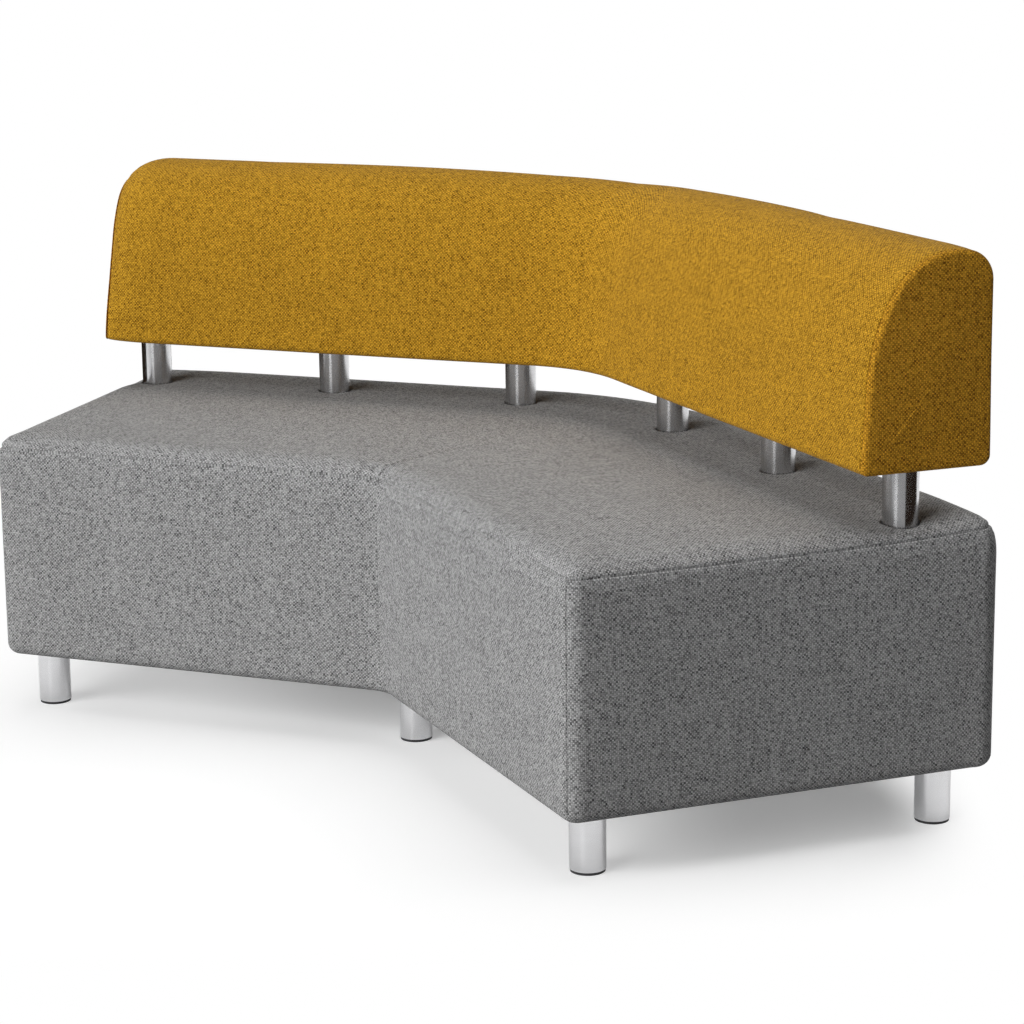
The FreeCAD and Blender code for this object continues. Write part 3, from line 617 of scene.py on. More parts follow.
def wall_profile(seat, seams):
    """Inset, level and roll of a side panel, from the hem under the base to the top seam.

    The lower edge is a quarter circle, the face is upright, and the top rolls into the seam.
    """
    turned = np.linspace(-QUARTER, 0, EDGE_STEPS)
    radius = seat.bottom_radius
    low = seat.base_level + radius
    high = seat.seam_level - seams.roll
    face = np.linspace(low, high, round((high - low) / seams.cell))[1:]
    roll = np.linspace(0, QUARTER, ROLL_STEPS)[1:]
    inset = np.concatenate([[seat.hem], radius * (1 - np.cos(turned)), np.zeros(len(face) + len(roll))])
    hem = seat.base_level + seams.depth / 2
    edge, seam = low + radius * np.sin(turned), high + seams.roll * np.sin(roll)
    level = np.concatenate([[hem], edge, face, seam])
    return inset, level, np.concatenate([np.zeros(len(inset) - len(roll)), 1 - np.cos(roll)])


def lifted(seat, points, side):
    """Raise the upper part of a wing to its uneven level.

    The level is straight between its values at the middle and at the end. Its front value falls evenly with
    the depth, and its rear value rises with a high power of the depth.
    """
    sine, cosine = math.sin(seat.half_turn), math.cos(seat.half_turn)
    x, y, z = points.T
    y = y - plan_shift(seat)
    along = np.clip((x * cosine - y * sine) / seat.front_length, 0, 1)
    depth = np.clip((x * sine + y * cosine) / seat.seat_depth, 0, 1)
    height = np.clip((z - seat.base_level) / (seat.seam_level - seat.base_level), 0, 1)
    front, rear = seat.right_lift if side > 0 else seat.left_lift
    front, rear = front * along, seat.rear_lift + (rear - seat.rear_lift) * along
    return np.stack([*points.T[:2], z + (front * (1 - depth) + rear * depth**REAR_LIFT_POWER) * height], -1)


def seam_depth(seams, path, steps):
    """How deep the top seam is at lengths along the outline: deepest at the front, and flat at the rear."""
    front, end, rear, _ = path.corners()
    marks = [front, end, rear - seams.fade, rear]
    return np.interp(steps, marks, [seams.front_depth, seams.depth, seams.depth, seams.rear_depth])


def fullness(seat, path, steps):
    """How far the side panels stand out at lengths along the outline, changing over the corners."""
    return np.interp(steps, path.corners(), [seat.front_full, seat.end_full, seat.end_full, seat.rear_full])


def seat_side(seat, seams, start, end):
    """A side panel: the wall's profile carried along the outline from one seam to the next.

    A point is the outline's point plus its inward normal times the profile's inset, less the fullness, which
    rounds up to the top seam as a quarter ellipse. The panel sinks where it rolls into its upright seams.
    """
    path = wing_path(seat)
    steps = path.steps(start, end, seams.cell, seams.roll)
    points, normals = path.at(steps)
    inset, level, roll = wall_profile(seat, seams)
    deep = seam_depth(seams, path, steps)
    # The fronts roll less into the seam between them, and every panel rolls less at the rear.
    sunk = np.interp(steps, [0.0, seams.roll, start + seams.roll], [seams.middle_depth] * 2 + [seams.depth])
    sunk = np.where(steps > path.mark(2, 0), seams.rear_depth, sunk)
    sunk = sunk * rolled(np.minimum(steps - start, end - steps), seams.roll)
    full = fullness(seat, path, steps)[:, None] * (1 - rolled(seat.seam_level - level, seat.shoulder))
    full = full * (inset < seat.hem)
    depth = np.maximum(np.maximum(inset, deep[:, None] * roll), sunk[:, None]) - full
    surface = np.empty((*depth.shape, 3))
    surface[..., :2] = points[:, None] + normals[:, None] * depth[..., None]
    surface[..., 2] = level
    run = running(np.hypot(np.diff(inset), np.diff(level)))
    middle = surface[:, len(level) // 2, :2]
    girth = running(np.linalg.norm(np.diff(middle, axis=0), axis=1))
    weave = np.stack(np.broadcast_arrays(girth[:, None], run[None, :]), -1)
    held = np.zeros(depth.shape, bool)
    held[:, level < seat.base_level + seat.bottom_radius] = True
    return surface + grid_swell(surface, seams, seat.side_swell, held), weave


def border_steps(span, cell, roll):
    """Parts of a border's length, crowded into the roll at both ends."""
    near = NEAR_ROLLS * roll
    count = round((span - 2 * near[-1]) / cell)
    middle = np.linspace(near[-1], span - near[-1], count)[1:-1]
    half = np.concatenate([crowded(roll), near])
    return np.concatenate([half, middle, span - half[::-1]]) / span


def seat_top(seat, seams, end_crown):
    """The top panel: a patch stretched between the outline and the middle line, and raised to its crown.

    The patch is the sum of the straights between opposite borders less the straights between the corners.
    The crown is a quarter ellipse of the distance to the outline, squarer at the rear. The border rolls under
    into the seam.
    """
    path = wing_path(seat)
    total = path.lengths[-1]
    first, last = path.mark(1, FRONT_SEAM), path.mark(2, REAR_SEAM)
    along = border_steps(0.5 * (first + total - last), seams.cell, seams.roll)
    across = border_steps(last - first, seams.cell, seams.roll)
    front, rear = path.at(first * along)[0], path.at(total - (total - last) * along)[0]
    end = path.at(first + (last - first) * across)[0]
    u, v = along[:, None, None], across[None, :, None]
    middle = front[0] + (rear[0] - front[0]) * v
    patch = (1 - v) * front[:, None] + v * rear[:, None] + (1 - u) * middle + u * end[None, :]
    patch = patch - (1 - u) * ((1 - v) * front[0] + v * rear[0]) - u * ((1 - v) * front[-1] + v * rear[-1])

    dense, normals = path.at(np.linspace(0, total, OUTLINE_STEPS))
    flat = patch.reshape(-1, 2)
    apart = ((flat[:, None] - dense[None]) ** 2).sum(-1)
    nearest = apart.argmin(1)
    inward = normals[nearest].reshape(patch.shape)
    reach = np.maximum(((flat - dense[nearest]) * normals[nearest]).sum(1), 0).reshape(patch.shape[:2])

    ease = EASE_ROLLS * seams.roll
    run = np.linspace(0, total, len(dense))[nearest].reshape(reach.shape)
    deep = seam_depth(seams, path, run)
    sunk = rolled(reach, seams.roll)
    opened = np.interp(reach, [seams.roll, ease], [FOLD, ease])
    inset = np.where(reach < ease, opened + (deep - FOLD) * sunk, reach)
    corners = path.corners()
    rear = np.interp(run, [corners[-1], corners[-1] + seat.rear_ease], [0.0, 1.0])
    width = np.interp(run, corners, [seat.crown_width, end_crown, end_crown, seat.crown_width])
    width = width + (seat.rear_crown - width) * rear
    power = 2 + (seat.rear_power - 2) * rear
    rise = seat.crown_rise * (1 - (1 - np.clip(inset / width, 0, 1)) ** power) ** (1 / power)
    low = seat.crown_rise * (1 - (1 - FOLD / width) ** power) ** (1 / power)
    rise = np.where(reach < seams.roll, low * np.sqrt(1 - np.clip(1 - reach / seams.roll, 0, 1) ** 2), rise)
    surface = np.empty((*patch.shape[:2], 3))
    surface[..., :2] = patch + inward * (inset - reach)[..., None]
    fade = np.clip(1 - np.linalg.norm(patch - front[0], axis=-1) / seat.mitre_reach, 0, 1)
    dip = seat.mitre_depth * fade * rolled(patch[..., 0], MITRE_ROLLS * seams.roll)
    holes, radius = post_places()
    apart = np.clip(np.linalg.norm(patch - holes[-1], axis=-1) / seat.dimple_reach, 0, 1)
    hollow = seat.dimple * (1 - apart**2) ** 2 * np.clip(2 * reach / seat.crown_width, 0, 1)
    surface[..., 2] = seat.seam_level + rise - dip - hollow
    held = np.zeros(patch.shape[:2], bool)
    for hole in holes:
        held |= np.linalg.norm(patch - hole, axis=-1) < HOLE_HOLD * radius
    shift = grid_swell(surface, seams, seat.top_swell, held)

    sine, cosine = math.sin(seat.half_turn), math.cos(seat.half_turn)
    turned = np.array([[cosine, sine], [-sine, cosine]])
    span = np.linspace(0, seat.crown_width, CROWN_STEPS)
    height = seat.crown_rise * np.sqrt(1 - (1 - span / seat.crown_width) ** 2)
    extra = np.cumsum((np.hypot(np.diff(span), np.diff(height)) - np.diff(span))[::-1])[::-1]
    extra = np.interp(inset, span, np.append(extra, 0.0)) + np.where(reach < seams.roll, low - rise, 0.0)
    weave = (surface[..., :2] - inward * extra[..., None]) @ turned
    return pierced(surface, weave, shift, holes, radius, seams)


def back_profile(back):
    """The backrest's section: toe, leaning front, face, crown, rear edge, upright rear and heel."""
    toe, heel, edge = back.toe_radius, back.heel_radius, back.rear_radius
    crown, face = back.crown_radius, back.face_radius
    toe_centre = np.array([back.front + toe, back.bottom + toe])
    heel_centre = np.array([back.rear - heel, back.bottom + heel])
    crown_centre = np.array([back.crest, back.top - crown])
    over = back.rear - edge - back.crest
    edge_centre = crown_centre + (over, math.sqrt((crown - edge) ** 2 - over**2))
    upward = np.array([math.sin(back.lean), math.cos(back.lean)])
    inward = np.array([math.cos(back.lean), -math.sin(back.lean)])
    across = (crown_centre - toe_centre) @ inward + toe
    below = math.sqrt((face - crown) ** 2 - (face - across) ** 2)
    above = (crown_centre - toe_centre) @ upward - below
    face_centre = toe_centre + inward * (face - toe) + upward * above
    crown_turn = math.atan2(*(crown_centre - face_centre)[::-1])
    edge_turn = math.atan2(*(edge_centre - crown_centre)[::-1])
    front_turn = math.pi - back.lean
    return Path(
        (
            (toe_centre, toe, 3 * QUARTER, front_turn, -1),
            (face_centre, face, front_turn, crown_turn, -1),
            (crown_centre, crown, crown_turn, edge_turn, -1),
            (edge_centre, edge, edge_turn, 0.0, -1),
            (heel_centre, heel, 0.0, -QUARTER, -1),
        )
    )


def rounding(back, points):
    """How much of its rounding a point of the section takes: least at the underside, and all of it above."""
    part = np.clip((points[:, 1] - back.bottom) / (ROUNDING_HEIGHT * (back.top - back.bottom)), 0, 1)
    return LEAST_ROUNDING + (1 - LEAST_ROUNDING) * part * part * (3 - 2 * part)


def end_shape(back, side):
    """How far the wrap rounds down to the seam at an end, and how far the end panel rounds towards it."""
    return (back.right_dip, back.right_round) if side > 0 else (back.left_dip, back.left_round)


def end_lip(seams, end_round):
    """Both cloths at the seam round an end, as runs before the end's plane and depths below the wrap.

    Each cloth turns a quarter circle into the seam and goes steeply down to meet the other. The end panel
    also turns a quarter circle into its plane.
    """
    angle = np.linspace(0, QUARTER, LIP_STEPS - 1)
    half = seams.slit / 2
    run = np.append(half + seams.lip * (1 - np.sin(angle)), 0)
    depth = np.append(seams.lip * (1 - np.cos(angle)), seams.lip_depth)
    seam = end_round + run[0]
    turned = np.linspace(0, QUARTER, LIP_STEPS)[1:]
    panel_run = np.concatenate([(seam - run)[::-1], end_round * (1 - np.sin(turned))])
    panel_depth = np.concatenate([depth[::-1], end_round * (1 - np.cos(turned))])
    return (seam + run, depth), (panel_run, panel_depth)


def back_runs(seat, back, seams, end_round):
    """Steps of the backrest from the middle seam to the end seam.

    They are lengths along its front. How far the wrap has sunk at each, the bend's length and the whole
    length come with them.
    """
    start = back.front - back.bend
    bend = back.bend * seat.half_turn
    total = bend + end_along(seat, back.front, -back.end_full) + start * math.tan(seat.half_turn)
    crowd = crowded(seams.roll)
    before, below = end_lip(seams, end_round)[0]
    arc = np.linspace(seams.roll, bend, BEND_STEPS)
    run = np.linspace(bend, total - before[0], round((total - before[0] - bend) / seams.cell))[1:-1]
    steps = np.concatenate([crowd[:-1], arc, run, total - before])
    sunk = seams.depth / 2 * rolled(steps, seams.roll)
    sunk[-LIP_STEPS:] = below
    return steps, sunk, bend, total


def back_place(seat, back, steps, bend, total, depth):
    """Plan places of the backrest at steps along it and depths across it.

    Up to the bend a point turns about the bend's axis at its own radius. After it, it runs straight on
    until the splayed end at its own depth.
    """
    start = back.front - back.bend
    origin = -start * math.tan(seat.half_turn)
    angle = seat.half_turn * np.clip(1 - steps / bend, 0, 1)
    part = np.clip((steps - bend) / (total - bend), 0, None)
    radius = depth - start
    along = origin - radius * np.sin(angle) + part * (end_along(seat, depth, -back.end_full) - origin)
    return in_plan(seat, along, start + radius * np.cos(angle))


def back_wrap(seat, back, seams, end_dip, end_round):
    """The wrap: the section carried round half of the bend and along the wing, closed by its underside."""
    steps, sunk, bend, total = back_runs(seat, back, seams, end_round)
    section = back_profile(back)
    lengths = section.steps(0, section.lengths[-1], seams.cell, seams.roll)
    points, normals = section.at(lengths)
    dip = end_dip * rolled(total - steps, back.end_reach)
    dip += back.middle_dip * np.clip(1 - steps / back.middle_reach, 0, 1) ** 2
    inset = sunk[:, None] + dip[:, None] * rounding(back, points)
    place = points[None] + normals[None] * inset[..., None]
    surface = np.empty((*place.shape[:2], 3))
    surface[..., :2] = back_place(seat, back, steps[:, None], bend, total, place[..., 0])
    surface[..., 2] = place[..., 1]
    run = running(np.hypot(np.diff(steps)[:, None], np.diff(inset, axis=0)))
    weave = np.stack(np.broadcast_arrays(run, lengths[None, :]), -1)
    surface += grid_swell(surface, seams, back.swell)
    outside = (surface.reshape(-1, 3), grid_faces(*surface.shape[:2])[:, ::-1], weave.reshape(-1, 2))

    depth = np.linspace(points[-1, 0], points[0, 0], round((back.rear - back.front) / seams.cell))
    floor = np.empty((len(steps), len(depth), 3))
    floor[..., :2] = back_place(seat, back, steps[:, None], bend, total, depth[None, :])
    floor[..., 2] = back.bottom + (sunk + dip * LEAST_ROUNDING)[:, None]
    map_places = np.stack(np.broadcast_arrays(steps[:, None], depth[None, :]), -1)
    holes, radius = post_places()
    low = floor * (1, 1, -1)
    points, faces, weave = pierced(low, map_places, np.zeros_like(low), holes, radius, seams)
    return joined(outside, (points * (1, 1, -1), faces[:, ::-1], weave))


def back_end(seat, back, seams, end_dip, end_round):
    """The end panel: rings of the section, drawn in to its middle, on the splayed end.

    The first rings follow the section's inset and rise out of the seam, and the others close on the centre.
    """
    section = back_profile(back)
    lengths = section.steps(0, section.lengths[-1], seams.cell, seams.roll)
    points, normals = section.at(lengths)
    count = round((points[-1, 0] - points[0, 0]) / seams.cell)
    under = points[-1] + (points[0] - points[-1]) * np.linspace(0, 1, count + 1)[1:-1, None]
    points = np.concatenate([points, under])
    normals = np.concatenate([normals, np.tile([0.0, 1.0], (len(under), 1))])
    before, below = end_lip(seams, end_round)[1]
    edge_dip = end_dip * rolled(before[0], back.end_reach)
    points = points + normals * (edge_dip * rounding(back, points))[:, None]
    rim = points[None] + normals[None] * below[:, None, None]
    run = running(np.hypot(np.diff(before), np.diff(below)))
    laid = points[None] + normals[None] * (below[-1] + run - run[-1])[:, None, None]
    centre = rim[-1].mean(0)
    inner = rim[-1] + (centre - rim[-1]) * np.linspace(0, 1, INNER_RINGS + 2)[1:-1, None, None]
    rings = np.concatenate([rim, inner])
    place = np.concatenate([rings.reshape(-1, 2), centre[None]])
    chart = np.concatenate([laid.reshape(-1, 2), place[RIM_RINGS * len(points) :]])
    sunk = np.zeros(len(place))
    sunk[: RIM_RINGS * len(points)] = np.repeat(before, len(points))
    surface = np.empty((len(place), 3))
    surface[:, :2] = in_plan(seat, end_along(seat, place[:, 0], -back.end_full) - sunk, place[:, 0])
    surface[:, 2] = place[:, 1]
    numbers = np.arange(rings.shape[0] * rings.shape[1]).reshape(rings.shape[:2])
    numbers = np.concatenate([numbers, np.full((1, rings.shape[1]), numbers.size)])
    after = np.roll(numbers, -1, axis=1)
    faces = np.stack([numbers[:-1], numbers[1:], after[1:], after[:-1]], -1).reshape(-1, 4)
    held = np.zeros(len(place), bool)
    held[: RIM_RINGS * len(points)] = True
    return surface, faces, chart, held


# Finishes


class Socket:
    """A shader value that takes part in Python sums: each operation adds one Math node."""

    def __init__(self, finish, link):
        self.finish = finish
        self.link = link

    def math(self, operation, *terms):
        return self.finish.add("ShaderNodeMath", {"operation": operation}, dict(enumerate(terms)))

    def __add__(self, other):
        return self.math("ADD", self, other)

    def __sub__(self, other):
        return self.math("SUBTRACT", self, other)

    def __rsub__(self, other):
        return self.math("SUBTRACT", other, self)

    def __mul__(self, other):
        return self.math("MULTIPLY", self, other)

    def __truediv__(self, other):
        return self.math("DIVIDE", self, other)

    __radd__ = __add__
    __rmul__ = __mul__

    def sine(self):
        return self.math("SINE", self)

    def size(self):
        return self.math("ABSOLUTE", self)

    def whole(self):
        return self.math("FLOOR", self)

    def root(self):
        return self.math("SQRT", self)

    def between(self, low, high):
        """Nought below low, one above high, and smooth between them."""
        return self.finish.add(
            "ShaderNodeMapRange", {"interpolation_type": "SMOOTHSTEP"}, {0: self, 1: low, 2: high}
        )


class Finish:
    """A node material, or another holder of nodes, in the making."""

    def __init__(self, name, holder=None):
        self.material = holder or bpy.data.materials.new(name)
        self.material.use_nodes = True
        self.tree = self.material.node_tree
        self.surface = self.tree.nodes.get("Principled BSDF")

    def add(self, kind, settings=None, sockets=None, output=0):
        """Add a node of a kind, set it up, and give its sockets values or links."""
        node = self.tree.nodes.new(kind)
        for key, setting in (settings or {}).items():
            setattr(node, key, setting)
        self.join(node, sockets or {})
        return Socket(self, node.outputs[output])

    def join(self, node, sockets):
        for key, term in sockets.items():
            if isinstance(term, Socket):
                self.tree.links.new(term.link, node.inputs[key])
            else:
                node.inputs[key].default_value = term

    def set(self, **sockets):
        """Feed the surface, with underscores for the spaces in a socket's name."""
        self.join(self.surface, {key.replace("_", " "): term for key, term in sockets.items()})
        return self.material

    def show(self, shader):
        """Let another shader stand for the principled one."""
        self.join(self.tree.nodes["Material Output"], {"Surface": shader})
        self.tree.nodes.remove(self.surface)
        return self.material

    def parts(self, vector):
        return [self.add("ShaderNodeSeparateXYZ", {}, {0: vector}, axis) for axis in range(3)]

    def noise(self, vector, scale, detail=2.0, dimensions="3D"):
        return self.add(
            "ShaderNodeTexNoise",
            {"noise_dimensions": dimensions},
            {"Vector": vector, "Scale": scale, "Detail": detail},
        )

    def streaks(self, detail, *terms):
        """Noise at a place made of its own terms, level for two of them."""
        return self.noise(self.vector(*terms), 1.0, detail, "2D" if len(terms) == 2 else "3D")

    def vector(self, *terms):
        return self.add("ShaderNodeCombineXYZ", {}, dict(enumerate(terms)))

    def blend(self, factor, first, second):
        """A colour between two colours."""
        first, second = (
            (*term, 1.0) if not isinstance(term, Socket) else term for term in (first, second)
        )
        return self.add("ShaderNodeMix", {"data_type": "RGBA"}, {0: factor, 6: first, 7: second}, 2)

    def bump(self, height, distance, strength=1.0):
        return self.add(
            "ShaderNodeBump", {}, {"Height": height, "Distance": distance, "Strength": strength}
        )

    def place(self):
        return self.add("ShaderNodeTexCoord", output="Object")

    def ray(self, kind):
        """One for a ray of a kind, and nought for any other."""
        return self.add("ShaderNodeLightPath", output=f"Is {kind} Ray")

    def emission(self, strength, tint=WHITE):
        return self.add("ShaderNodeEmission", {}, {"Color": (*tint, 1.0), "Strength": strength})

    def matt(self, tint):
        return self.add("ShaderNodeBsdfDiffuse", {}, {"Color": (*tint, 1.0)})

    def mixed(self, factor, first, second):
        """A shader between two shaders."""
        return self.add("ShaderNodeMixShader", {}, {0: factor, 1: first, 2: second})


def woven(name, looks, light, dark):
    """A plain weave of mixed yarn in the piece's weave map.

    Threads lie a pitch apart both ways, and wander. The product of the two sines is above nought where the
    upright thread is on top. Each thread has its own tone, which changes along it as in mixed yarn, and
    slubs make longer, fainter changes.
    """
    finish = Finish(name)
    chart = finish.add("ShaderNodeUVMap", {"uv_map": WEAVE_MAP})
    wander = finish.noise(chart, WANDER_SCALE, 1.0, "2D")
    jitter = finish.noise(chart, JITTER_SCALE, 1.0, "2D")
    across, along, _ = finish.parts(chart)
    across = across / looks.pitch + wander * WANDER_ACROSS + jitter * JITTER
    along = along / looks.pitch + wander * WANDER_ALONG - jitter * JITTER
    upright, level = (across * math.pi).sine(), (along * math.pi).sine()
    over = (upright * level).between(-OVER_EDGE, OVER_EDGE)
    yarn_up = finish.streaks(2.0, across.whole() * 7.31, along * 0.70)
    yarn_level = finish.streaks(2.0, across * 0.45, along.whole() * 5.77 + 31.0)
    yarn = yarn_up * over + yarn_level * (1 - over)
    slub = finish.streaks(3.0, across * 0.020, along * 0.30)
    slub = slub + finish.streaks(3.0, across * 0.30, along * 0.022 + 9.0)
    height = upright.size() * over + level.size() * (1 - over)
    crossing = (upright * level).size()
    tone = 0.5 + (yarn - 0.5) * YARN_TONE + (over - 0.5) * OVER_TONE
    tone = tone + (slub - 1.0) * SLUB_TONE + (crossing - 0.4) * CROSSING_TONE
    return finish.set(
        Base_Color=finish.blend(tone, dark, light),
        Roughness=0.92 - crossing * 0.12,
        Normal=finish.bump(height * 0.7 + yarn * 0.6, 0.0009, 0.55),
        Sheen_Weight=0.05,
        Sheen_Roughness=0.45,
        Specular_IOR_Level=0.12,
    )


def satin_chrome(looks):
    """Polished tube with a fine brushed grain round it and faint handling marks."""
    finish = Finish("satin_chrome")
    place = finish.place()
    x, y, z = finish.parts(place)
    grain = finish.streaks(2.0, x * 30.0, y * 30.0, z * 240.0)
    marks = finish.noise(place, 26.0, 3.0)
    return finish.set(
        Base_Color=finish.blend(marks.between(0.25, 0.75), [c * 0.93 for c in looks.chrome], looks.chrome),
        Metallic=1.0,
        Roughness=0.15 + grain * 0.05 + marks * 0.05,
        Anisotropic=0.75,
        Anisotropic_Rotation=0.25,
    )


def moulded(name, base):
    """Moulded nylon with a spark-eroded grain."""
    finish = Finish(name)
    place = finish.place()
    grain = finish.noise(place, 900.0, 2.0)
    cloud = finish.noise(place, 60.0, 2.0)
    return finish.set(
        Base_Color=finish.blend(cloud, base, [c * 1.9 + 0.004 for c in base]),
        Roughness=0.42 + grain * 0.2,
        Normal=finish.bump(grain, 0.0002, 0.4),
    )


def spun_lining(looks):
    """Spun-bonded lining: pressed fibres with a grid of bond points."""
    finish = Finish("spun_lining")
    place = finish.place()
    x, y, _ = finish.parts(place)
    bonds = ((x * (math.pi / BOND_PITCH)).sine() * (y * (math.pi / BOND_PITCH)).sine()).size()
    fibres = finish.streaks(4.0, x * 300.0, y * 900.0, 0.0)
    return finish.set(
        Base_Color=finish.blend(fibres, looks.lining, [c * 2.6 for c in looks.lining]),
        Roughness=0.85 - bonds * 0.2,
        Normal=finish.bump(fibres - bonds * 0.6, 0.0004, 0.5),
    )


def birch_ply(looks):
    """Birch plywood: long grain on the faces, and thin plies on the cut edges."""
    finish = Finish("birch_ply")
    place = finish.place()
    x, y, z = finish.parts(place)
    grain = finish.streaks(5.0, x * 3.0, y * 46.0, z * 46.0)
    plies = (z * (math.pi / PLY)).sine() * (x * (math.pi / PLY)).sine()
    tone = grain + plies * 0.10
    return finish.set(
        Base_Color=finish.blend(tone.between(0.25, 0.8), looks.ply_dark, looks.ply_light),
        Roughness=0.62 + grain * 0.15,
        Normal=finish.bump(grain, 0.0006, 0.3),
    )


def zinc_plate(looks):
    """Bright zinc with a mottled passivation."""
    finish = Finish("zinc_plate")
    mottle = finish.noise(finish.place(), 180.0, 3.0)
    return finish.set(
        Base_Color=finish.blend(mottle, [c * 0.8 for c in looks.zinc], looks.zinc),
        Metallic=1.0,
        Roughness=0.28 + mottle * 0.22,
    )


def cloth(looks, place):
    """The cloth of the seat, the back or its ends, made once. The ends' cloth is a redder copy of the back's,
    as painted shade.
    """
    name = CLOTHS[place]
    light, dark = getattr(looks, f"{place}_light"), getattr(looks, f"{place}_dark")
    return bpy.data.materials.get(name) or woven(name, looks, light, dark)


# Operators


class SOFA_OT_seat_tops(bpy.types.Operator):
    """Make the top panels of the seat"""

    bl_idname = "sofa.seat_tops"
    bl_label = "Seat tops"

    def execute(self, context):
        scene = context.scene
        seat = scene.sofa_seat
        for word, side in SIDES:
            crown = seat.crown_width if side > 0 else seat.left_crown
            points, *shape = seat_top(seat, scene.sofa_seams, crown)
            points = lifted(seat, points, side)
            piece = make_piece(
                f"seat_top_{word}", points, *shape, side, cloth(scene.sofa_looks, "seat"), "seat_cloth"
            )
            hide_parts(f"seat_top_cover_{word}", f"seat_foam_{word}")
        return {"FINISHED"}


class SOFA_OT_seat_sides(bpy.types.Operator):
    """Make the front, end and rear panels of the seat"""

    bl_idname = "sofa.seat_sides"
    bl_label = "Seat sides"

    def execute(self, context):
        scene = context.scene
        seat, seams = scene.sofa_seat, scene.sofa_seams
        path = wing_path(seat)
        marks = [0.0, path.mark(1, FRONT_SEAM), path.mark(2, REAR_SEAM), path.lengths[-1]]
        for edge, start, end in zip(("front", "end", "rear"), marks, marks[1:]):
            surface, weave = seat_side(seat, seams, start, end)
            shape = (grid_faces(*surface.shape[:2]), weave.reshape(-1, 2))
            for word, side in SIDES:
                points = lifted(seat, surface.reshape(-1, 3), side)
                piece = make_piece(
                    f"seat_{edge}_{word}", points, *shape, side, cloth(scene.sofa_looks, "seat"), "seat_cloth"
                )
                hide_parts(f"seat_{edge}_cover_{word}", f"{edge}_foam_{word}")
        return {"FINISHED"}


class SOFA_OT_back_wraps(bpy.types.Operator):
    """Make the wraps of the backrest"""

    bl_idname = "sofa.back_wraps"
    bl_label = "Backrest wraps"

    def execute(self, context):
        scene = context.scene
        back = scene.sofa_back
        for word, side in SIDES:
            shape = back_wrap(scene.sofa_seat, back, scene.sofa_seams, *end_shape(back, side))
            piece = make_piece(
                f"back_wrap_{word}", *shape, side, cloth(scene.sofa_looks, "back"), "back_cloth"
            )
            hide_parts(f"back_cover_{word}", f"back_foam_{word}")
        return {"FINISHED"}


class SOFA_OT_back_ends(bpy.types.Operator):
    """Make the end panels of the backrest"""

    bl_idname = "sofa.back_ends"
    bl_label = "Backrest ends"

    def execute(self, context):
        scene = context.scene
        back = scene.sofa_back
        for word, side in SIDES:
            shape = back_end(scene.sofa_seat, back, scene.sofa_seams, *end_shape(back, side))
            surface, faces, place, held = shape
            shift = cloth_swell(surface, faces, held, scene.sofa_seams.push, back.end_swell)
            surface += ring_softened(shift, held)
            # The end panels take the redder ends' cloth, which is painted shade.
            piece = make_piece(
                f"back_end_{word}", surface, faces, place, side, cloth(scene.sofa_looks, "end"), "back_cloth"
            )
            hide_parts(f"back_end_cover_{word}")
        return {"FINISHED"}


class SOFA_OT_finishes(bpy.types.Operator):
    """Give the metalwork, glides, boards and fixings their finishes"""

    bl_idname = "sofa.finishes"
    bl_label = "Metalwork and frame finishes"

    def execute(self, context):
        looks = context.scene.sofa_looks
        finishes = {
            "satin_chrome": satin_chrome(looks),
            "black_plastic": moulded("glide_nylon", looks.nylon),
            "insert_plastic": moulded("insert_nylon", [c * 3 for c in looks.nylon]),
            "dust_cloth": spun_lining(looks),
            "plywood": birch_ply(looks),
            "zinc_steel": zinc_plate(looks),
        }
        for row in frame["record"]["subparts"]:
            if row["material_slot"] in finishes:
                mesh = frame["nodes"][row["node"]].data
                mesh.materials.clear()
                mesh.materials.append(finishes[row["material_slot"]])
        return {"FINISHED"}


def floor_finish(studio):
    """A pale floor that keeps shadows, and that fades to plain white away from the sofa. Painted fill light
    lifts its shadow towards white before the sofa and on its left, and beside the right end the fade paints
    out the sofa's shadow.
    """
    finish = Finish("studio_floor")
    x, y, _ = finish.parts(finish.place())
    wide, deep = PICTURE_WAY
    across, towards = x * wide + y * deep, x * deep - y * wide
    left, front = across * -1.0, towards.between(*FILL_FRONT)
    far = (x * x + y * y).root().between(*FADE_ROUND)
    # Beside the right end the fade paints out the sofa's shadow.
    inside = (1 - across.between(*FADE_RIGHT)) * (1 - left.between(*FADE_LEFT))
    # Painted fill light, lifting the floor's shadow towards white before the sofa and on its left.
    fill = (1 - across.between(*FILL_RIGHT)) * front * studio.floor_fill
    fill = fill + left.between(*FILL_LEFT) * (1 - front) * studio.floor_fill * LEFT_FILL
    away = 1 - (1 - far) * (1 - towards.between(*FADE_FRONT)) * inside * (1 - fill)
    glow = finish.emission(studio.floor_glow)
    near = finish.add("ShaderNodeAddShader", {}, {0: finish.matt(studio.floor), 1: glow})
    plain = finish.mixed(away * finish.ray("Camera"), near, finish.emission(1.0))
    # Painted dark reflection: glossy rays see the floor before the sofa as a dim glow.
    before = towards.between(*DUSK_FRONT) * finish.ray("Glossy")
    plain = finish.mixed(before, plain, finish.emission(studio.floor_dusk))
    return finish.show(finish.mixed(finish.ray("Diffuse"), plain, finish.matt(studio.floor_bounce)))


def studio_sky(studio):
    """Even light all round, a level of its own in the chrome, and white behind the floor."""
    sky = Finish("studio", bpy.data.worlds.new("studio"))
    level = studio.sky + sky.ray("Glossy") * (studio.sky_shine - studio.sky)
    level = level + sky.ray("Camera") * (1.0 - studio.sky)
    sky.join(sky.tree.nodes["Background"], {"Color": (*WHITE, 1.0), "Strength": level})
    return sky.material


